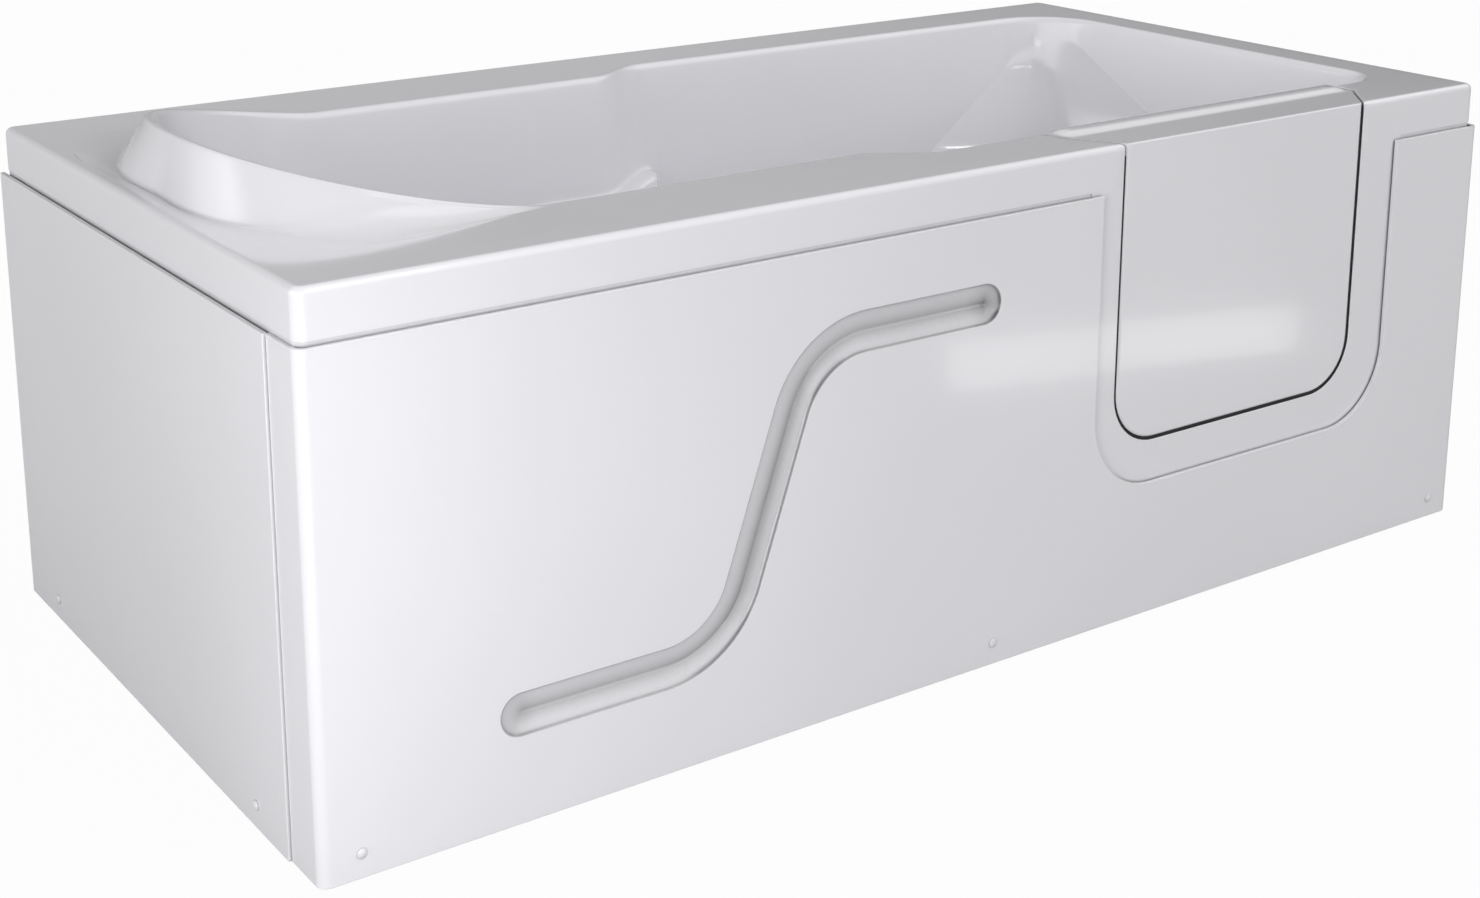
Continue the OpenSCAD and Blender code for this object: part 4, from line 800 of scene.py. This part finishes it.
def panel_side(rear):
    """Vertices and faces of the panel's face, or of its rear, in millimetres. The
    rear of the groove is wider and less deep, so that the sheet thins in its sides."""
    y0 = FACE_Y + (PANEL_T if rear else 0)
    verts, faces = [], []

    def add(x, y, z):
        verts.append((x, y, z))
        return len(verts) - 1

    rows = []
    for w, d in GROOVE:
        g = 1 - (w / LIP_W) ** 3 if rear else 0
        upper, lower = groove_loop(w + 3.2 * g * (w > 0))
        k = 1 - w / LIP_W
        rows.append([add(x + 8 * k, y0 + d - 1.5 * g, z - 4 * k) for x, z in upper + lower])
    n_up, n = len(upper), len(rows[0])
    for r0, r1 in zip(rows, rows[1:]):
        faces += [(r0[i], r0[(i + 1) % n], r1[(i + 1) % n], r1[i]) for i in range(n)]
    q = [math.radians(90 * i / 18) for i in range(19)]
    low_arc = [(CUT_X0 + CUT_R * (1 - math.cos(a)), CUT_Z - CUT_R * math.sin(a)) for a in q]
    low_arc += [(CUT_X1 - CUT_R * (1 - math.sin(a)), CUT_Z - CUT_R * math.cos(a)) for a in q]
    corner = {k: add(x, y0, z) for k, x, z in (
        ("ltop", -FLAT_X, PANEL_TOP), ("lmid", -FLAT_X, LOW_Z), ("llow", -FLAT_X, PANEL_LOW),
        ("rlow", FLAT_X, PANEL_LOW), ("rtop", FLAT_X, PANEL_TOP), ("ctop", CUT_X1, PANEL_TOP),
        ("cmid", CUT_X0, HIGH_Z), ("dtop", CUT_X0, PANEL_TOP))}
    arc = [add(x, y0, z) for x, z in low_arc]
    outer = rows[0]
    faces.append([corner["ltop"], corner["lmid"]] + outer[:n_up]
                 + [corner["cmid"], corner["dtop"]])
    faces.append([corner["llow"], corner["rlow"], corner["rtop"], corner["ctop"]] + arc[::-1]
                 + [corner["cmid"]] + outer[n_up - 1:] + [outer[0], corner["lmid"]])
    r = PANEL_R - (PANEL_T if rear else 0)
    for s, keys in ((-1, ("ltop", "lmid", "llow")), (1, ("rtop", "rlow"))):
        last = [corner[k] for k in keys]
        turn = [(s * (FLAT_X + r * math.sin(a)), FACE_Y + PANEL_R - r * math.cos(a))
                for a in np.radians([11, 22.5, 34, 45, 56, 67.5, 79, 90])]
        turn.append((s * (FLAT_X + r), RETURN_Y))
        for x, y in turn:
            now = [add(x, y, verts[v][2]) for v in last]
            faces += [(last[i], last[i + 1], now[i + 1], now[i]) for i in range(len(last) - 1)]
            last = now
    return verts, faces, rows[-1]


def sheet_solid(name, front, rear):
    """Joins a front and a rear surface of the same layout into a solid, rounds its
    outer edges by 0.8 mm, and gives its rear the backing."""
    bm = bmesh.new()
    sides = []
    for part, (verts, faces, _) in enumerate((front, rear)):
        vs = [bm.verts.new((x / 1000, y / 1000, z / 1000)) for x, y, z in verts]
        for f in faces:
            bm.faces.new([vs[i] for i in f]).material_index = part
        sides.append(vs)
    bm.edges.ensure_lookup_table()
    valley = {sides[0][i] for i in front[2]}
    rim = [e for e in bm.edges if e.is_boundary and not valley.issuperset(e.verts)]
    index = {v: i for i, v in enumerate(sides[0])}
    for e in rim:
        a, b = e.verts
        if a in index and b in index:
            i, j = index[a], index[b]
            bm.faces.new((sides[0][i], sides[0][j], sides[1][j], sides[1][i]))
    bmesh.ops.remove_doubles(bm, verts=bm.verts, dist=2e-6)
    bmesh.ops.recalc_face_normals(bm, faces=bm.faces)
    sharp_edges = [e for e in bm.edges if e.is_manifold
                   and e.calc_face_angle(0) > math.radians(70)]
    bmesh.ops.bevel(bm, geom=sharp_edges, offset=0.0008, segments=3, profile=0.5,
                    affect="EDGES", clamp_overlap=True)
    obj = new_piece(name, bm)
    finish_mesh(obj, 40)
    return obj


panel = sheet_solid("Front_panel", panel_side(False), panel_side(True))

# The same acrylic, thinly drawn and less even, with strong painted shade in the groove's hollow,
# from the panel's own shape alone.
panel_white = acrylic("Panel_white", "#e4e3e7", "#e7e6ea", 0.13, 0.18, 0.0003, 0.72, 0.05, True)
dress(panel, panel_white, backing)
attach(panel, "bath")
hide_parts("front_panel")

# --- End panels --------------------------------------------------------------
# Flat acrylic panels at the head and foot ends, between the front panel's return
# and the wall, with softened edges, each held by two screws along the bottom.
END_X, SEAM_Y = 850.0, RETURN_Y + 1
for name, node, x0 in (("Head_panel", "head_end_panel", -END_X),
                       ("Foot_panel", "foot_end_panel", END_X - PANEL_T)):
    face = [(SEAM_Y, PANEL_LOW), (BACK_Y, PANEL_LOW), (BACK_Y, PANEL_TOP), (SEAM_Y, PANEL_TOP)]
    plates = [([(x, y, z) for y, z in face], [(0, 1, 2, 3)], ()) for x in (x0, x0 + PANEL_T)]
    if x0 > 0:
        plates.reverse()
    end_panel = sheet_solid(name, *plates)
    dress(end_panel, panel_white, backing)
    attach(end_panel, "bath")
    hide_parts(node)

# --- Panel screws and caps ---------------------------------------------------
# Zinc-plated screws hold the panels along the bottom. Over each is a small domed
# snap-on cap of moulded plastic: a thin skirt, a soft shoulder and a shallow dome.
finish_nodes(galvanised, "panel_screws")


def lathe(name, profile, n=40):
    """A body turned round Z from a half section of (radius, height) in millimetres."""
    bm = bmesh.new()
    turns = np.linspace(0, 2 * math.pi, n, endpoint=False)
    rows = [[bm.verts.new((r / 1000 * math.cos(a), r / 1000 * math.sin(a), z / 1000))
             for a in (turns if r else (0,))] for r, z in profile]
    for r0, r1 in zip(rows, rows[1:]):
        for i in range(n):
            k = (i + 1) % n
            quad = dict.fromkeys([r0[i % len(r0)], r0[k % len(r0)],
                                  r1[k % len(r1)], r1[i % len(r1)]])
            if len(quad) > 2:
                bm.faces.new(list(quad))
    bmesh.ops.recalc_face_normals(bm, faces=bm.faces)
    obj = new_piece(name, bm)
    obj.data.shade_smooth()
    obj.data.set_sharp_from_angle(angle=math.radians(40))
    return obj


def scatter(name, item, places, turns):
    """Geometry Nodes: a copy of item at each place, turned by each rotation."""
    mesh = bpy.data.meshes.new(name)
    mesh.from_pydata([tuple(v / 1000 for v in p) for p in places], [], [])
    turn = mesh.attributes.new("turn", "FLOAT_VECTOR", "POINT")
    turn.data.foreach_set("vector", [v for t in turns for v in t])
    obj = new_object(name, mesh)
    tree = bpy.data.node_groups.new(name + "_layout", "GeometryNodeTree")
    face = tree.interface
    for label, kind in (("Geometry", "Geometry"), ("Item", "Object"), ("Size", "Float"),
                        ("Material", "Material")):
        face.new_socket(label, in_out="INPUT", socket_type="NodeSocket" + kind)
    face.new_socket("Geometry", in_out="OUTPUT", socket_type="NodeSocketGeometry")
    inp = add_node(tree, "NodeGroupInput")
    info = add_node(tree, "GeometryNodeObjectInfo", {"Object": inp.outputs["Item"]})
    turns = add_node(tree, "GeometryNodeInputNamedAttribute", None,
                     {"data_type": "FLOAT_VECTOR"}, Name="turn")
    turns = add_node(tree, "FunctionNodeEulerToRotation", {"Euler": turns.outputs["Attribute"]})
    copies = add_node(tree, "GeometryNodeInstanceOnPoints",
                      {"Points": inp.outputs["Geometry"], "Instance": info.outputs["Geometry"],
                       "Rotation": turns, "Scale": inp.outputs["Size"]})
    copies = add_node(tree, "GeometryNodeRealizeInstances", {"Geometry": copies})
    copies = add_node(tree, "GeometryNodeSetMaterial",
                      {"Geometry": copies, "Material": inp.outputs["Material"]})
    add_node(tree, "NodeGroupOutput", {"Geometry": copies})
    mod = obj.modifiers.new("layout", "NODES")
    mod.node_group = tree
    ids = {i.name: i.identifier for i in face.items_tree if i.in_out == "INPUT"}
    mod[ids["Item"]] = item
    mod[ids["Size"]] = 1.0
    return obj, mod, ids


# radius and height from the skirt's foot over the dome, then back through its hollow
CAP = [(4.1, 0), (5.75, 0), (5.75, 0.7), (5.6, 1.15), (5.2, 1.6), (4.6, 2.05), (3.8, 2.5),
       (2.8, 2.9), (1.5, 3.2), (0, 3.35), (0, 2.5), (2.6, 2.2), (4.1, 1.2), (4.1, 0)]
CAP_Z = 31.0
cap = lathe("cap_pattern", CAP)
half = math.pi / 2
screws = [((x, FACE_Y, CAP_Z), (half, 0, 0)) for x in (-803.0, 9.0, 803.0)]
screws += [((x, y, CAP_Z), (half, 0, math.copysign(half, x)))
           for x in (-END_X, END_X) for y in (-281.0, 320.0)]
caps, cap_mod, cap_ids = scatter("Screw_caps", cap, [p for p, _ in screws],
                                 [t for _, t in screws])

# Moulded white plastic, a little duller and greyer than the panels, with painted shade in its nooks
# and seams.
cap_white = acrylic("Cap_white", "#dcdbdf", "#e3e2e6", 0.28, 0.38, 0.0001, 0.4, 0.8, False)
cap_mod[cap_ids["Material"]] = cap_white
bake(caps)
bpy.data.objects.remove(cap)
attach(caps, "bath")
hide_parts("screw_caps")

# --- Camera ------------------------------------------------------------------
# The photograph's view: from the near left corner, a little above the rim.
cam_data = bpy.data.cameras.new("Camera")
cam = new_object("Camera", cam_data)
cam.location = (-1.6093, -2.1934, 1.1655)
cam.rotation_mode = "QUATERNION"
cam.rotation_quaternion = Vector((0.55403, 0.79767, -0.23825)).to_track_quat("-Z", "Y")
cam_data.lens, cam_data.sensor_width = 53.42, 36
cam_data.shift_x, cam_data.shift_y = 0.0138, -0.1775
bpy.context.scene.camera = cam

# --- Studio ------------------------------------------------------------------
# A white floor that runs out of sight, a surround with soft light low at the front and
# left and high at the front right, two small lamps, and a bright card before the door.
bm = bmesh.new()
rows = [[bm.verts.new((x, y, 0)) for x in (-9, -3, 3, 9)] for y in (-9, -3, 3, 9)]
for j in range(3):
    for i in range(3):
        bm.faces.new((rows[j][i], rows[j][i + 1], rows[j + 1][i + 1], rows[j + 1][i]))
floor = new_piece("Floor", bm)

# The floor is pale grey to the light, with a tone that drifts over 670 mm, and the
# camera sees it 97 per cent white, so that only a trace of shadow shows.
floor_mat, tree, place = start_material("Studio_floor")
tone = add_node(tree, NOISE, {"Vector": place}, Scale=1000 / 666.7, Detail=3.0)
tone = add_node(tree, RAMP, {"Fac": tone}, stops=[(0.3, 0.34), (0.7, 0.36)])
matt = add_node(tree, "ShaderNodeBsdfPrincipled", {"Base Color": tone}, Specular_IOR_Level=0.0,
                Emission_Color=(1, 1, 1, 1), Emission_Strength=0.1)
white = add_node(tree, "ShaderNodeEmission", Color=(1, 1, 1, 1), Strength=1.0)
seen = add_node(tree, "ShaderNodeLightPath").outputs["Is Camera Ray"]
seen = add_node(tree, RANGE, {"Value": seen}, To_Max=0.97)
seen = add_node(tree, "ShaderNodeMixShader", {0: seen, 1: matt, 2: white})
add_node(tree, "ShaderNodeOutputMaterial", {"Surface": seen})
dress(floor, floor_mat)

# The camera sees the surround as white. Glossy rays see the soft light, which keeps the
# deck as grey as in the photograph. Each ramp runs once round the sky, with the front
# at 0.25, the right at 0.5 and the back at 0.75, and they blend from one to the next
# with height, which is 0 at the horizon and 1 overhead.
world = bpy.data.worlds.new("Studio")
bpy.context.scene.world = world
world.use_nodes = True
tree = world.node_tree
tree.nodes.clear()
direction = add_node(tree, "ShaderNodeTexCoord").outputs["Generated"]
height = add_node(tree, "ShaderNodeSeparateXYZ", {"Vector": direction}).outputs["Z"]
turn = add_node(tree, "ShaderNodeTexGradient", {"Vector": direction},
                {"gradient_type": "RADIAL"}).outputs["Fac"]
low, mid, high = (add_node(tree, RAMP, {"Fac": turn}, stops=stops) for stops in (
    [(0.09, 0.86), (0.16, 0.29), (0.34, 0.29), (0.41, 0.0), (0.6, 0.0), (0.66, 0.11),
     (0.84, 0.11), (0.91, 0.86)],
    [(0.09, 0.74), (0.16, 0.58), (0.34, 0.58), (0.42, 0.03), (0.84, 0.03), (0.91, 0.74)],
    [(0.1, 0.0), (0.28, 0.02), (0.34, 0.62), (0.52, 0.62), (0.58, 0.24), (0.82, 0.24),
     (0.9, 0.0)]))
sky = low
for z0, z1, above in ((0.17, 0.27, mid), (0.42, 0.58, high)):
    share = add_node(tree, RANGE, {"Value": height}, SOFT, From_Min=z0, From_Max=z1)
    sky = add_node(tree, "ShaderNodeMix", {0: share, 6: sky, 7: above},
                   {"data_type": "RGBA"}).outputs[2]
glow = add_node(tree, "ShaderNodeBackground", {"Color": sky}, Strength=3.0)
clear = add_node(tree, "ShaderNodeBackground", Color=(1, 1, 1, 1), Strength=1.0)
seen = add_node(tree, "ShaderNodeLightPath").outputs["Is Camera Ray"]
seen = add_node(tree, "ShaderNodeMixShader", {0: seen, 1: glow, 2: clear})
add_node(tree, "ShaderNodeOutputWorld", {"Surface": seen})


def lamp(name, place, target, size, power):
    """A flat lamp of this size in metres and power in watts, aimed at target."""
    light = bpy.data.lights.new(name, "AREA")
    light.shape, light.energy = "RECTANGLE", power
    light.size, light.size_y = size
    obj = new_object(name, light)
    obj.location = place
    obj.rotation_mode = "QUATERNION"
    obj.rotation_quaternion = (Vector(target) - Vector(place)).to_track_quat("-Z", "Y")
    obj.visible_camera = False


lamp("Key", (-1.2, -1.05, 0.45), (-0.8, -0.42, 0.4), (0.4, 0.85), 3.4)
lamp("Spark_near", (0.46, -2.2, 2.6), (-0.8, -0.4, 0.6), (0.25, 0.25), 4)

# The card lies low before the door and shows only as a soft reflection in the gloss.
bm = bmesh.new()
bm.faces.new([bm.verts.new((x, y, 0.03)) for x, y in ((0.715, -1.338), (1.378, -1.132),
                                                     (1.165, -0.959), (0.555, -1.138))])
card = new_piece("Low_card", bm)
card_mat, tree, _ = start_material("Card_glow")
glow = add_node(tree, "ShaderNodeEmission", Color=(1, 1, 1, 1), Strength=2.4)
add_node(tree, "ShaderNodeOutputMaterial", {"Surface": glow})
dress(card, card_mat)
card.visible_camera = card.visible_diffuse = card.visible_shadow = False
bpy.context.scene.view_settings.view_transform = "Standard"
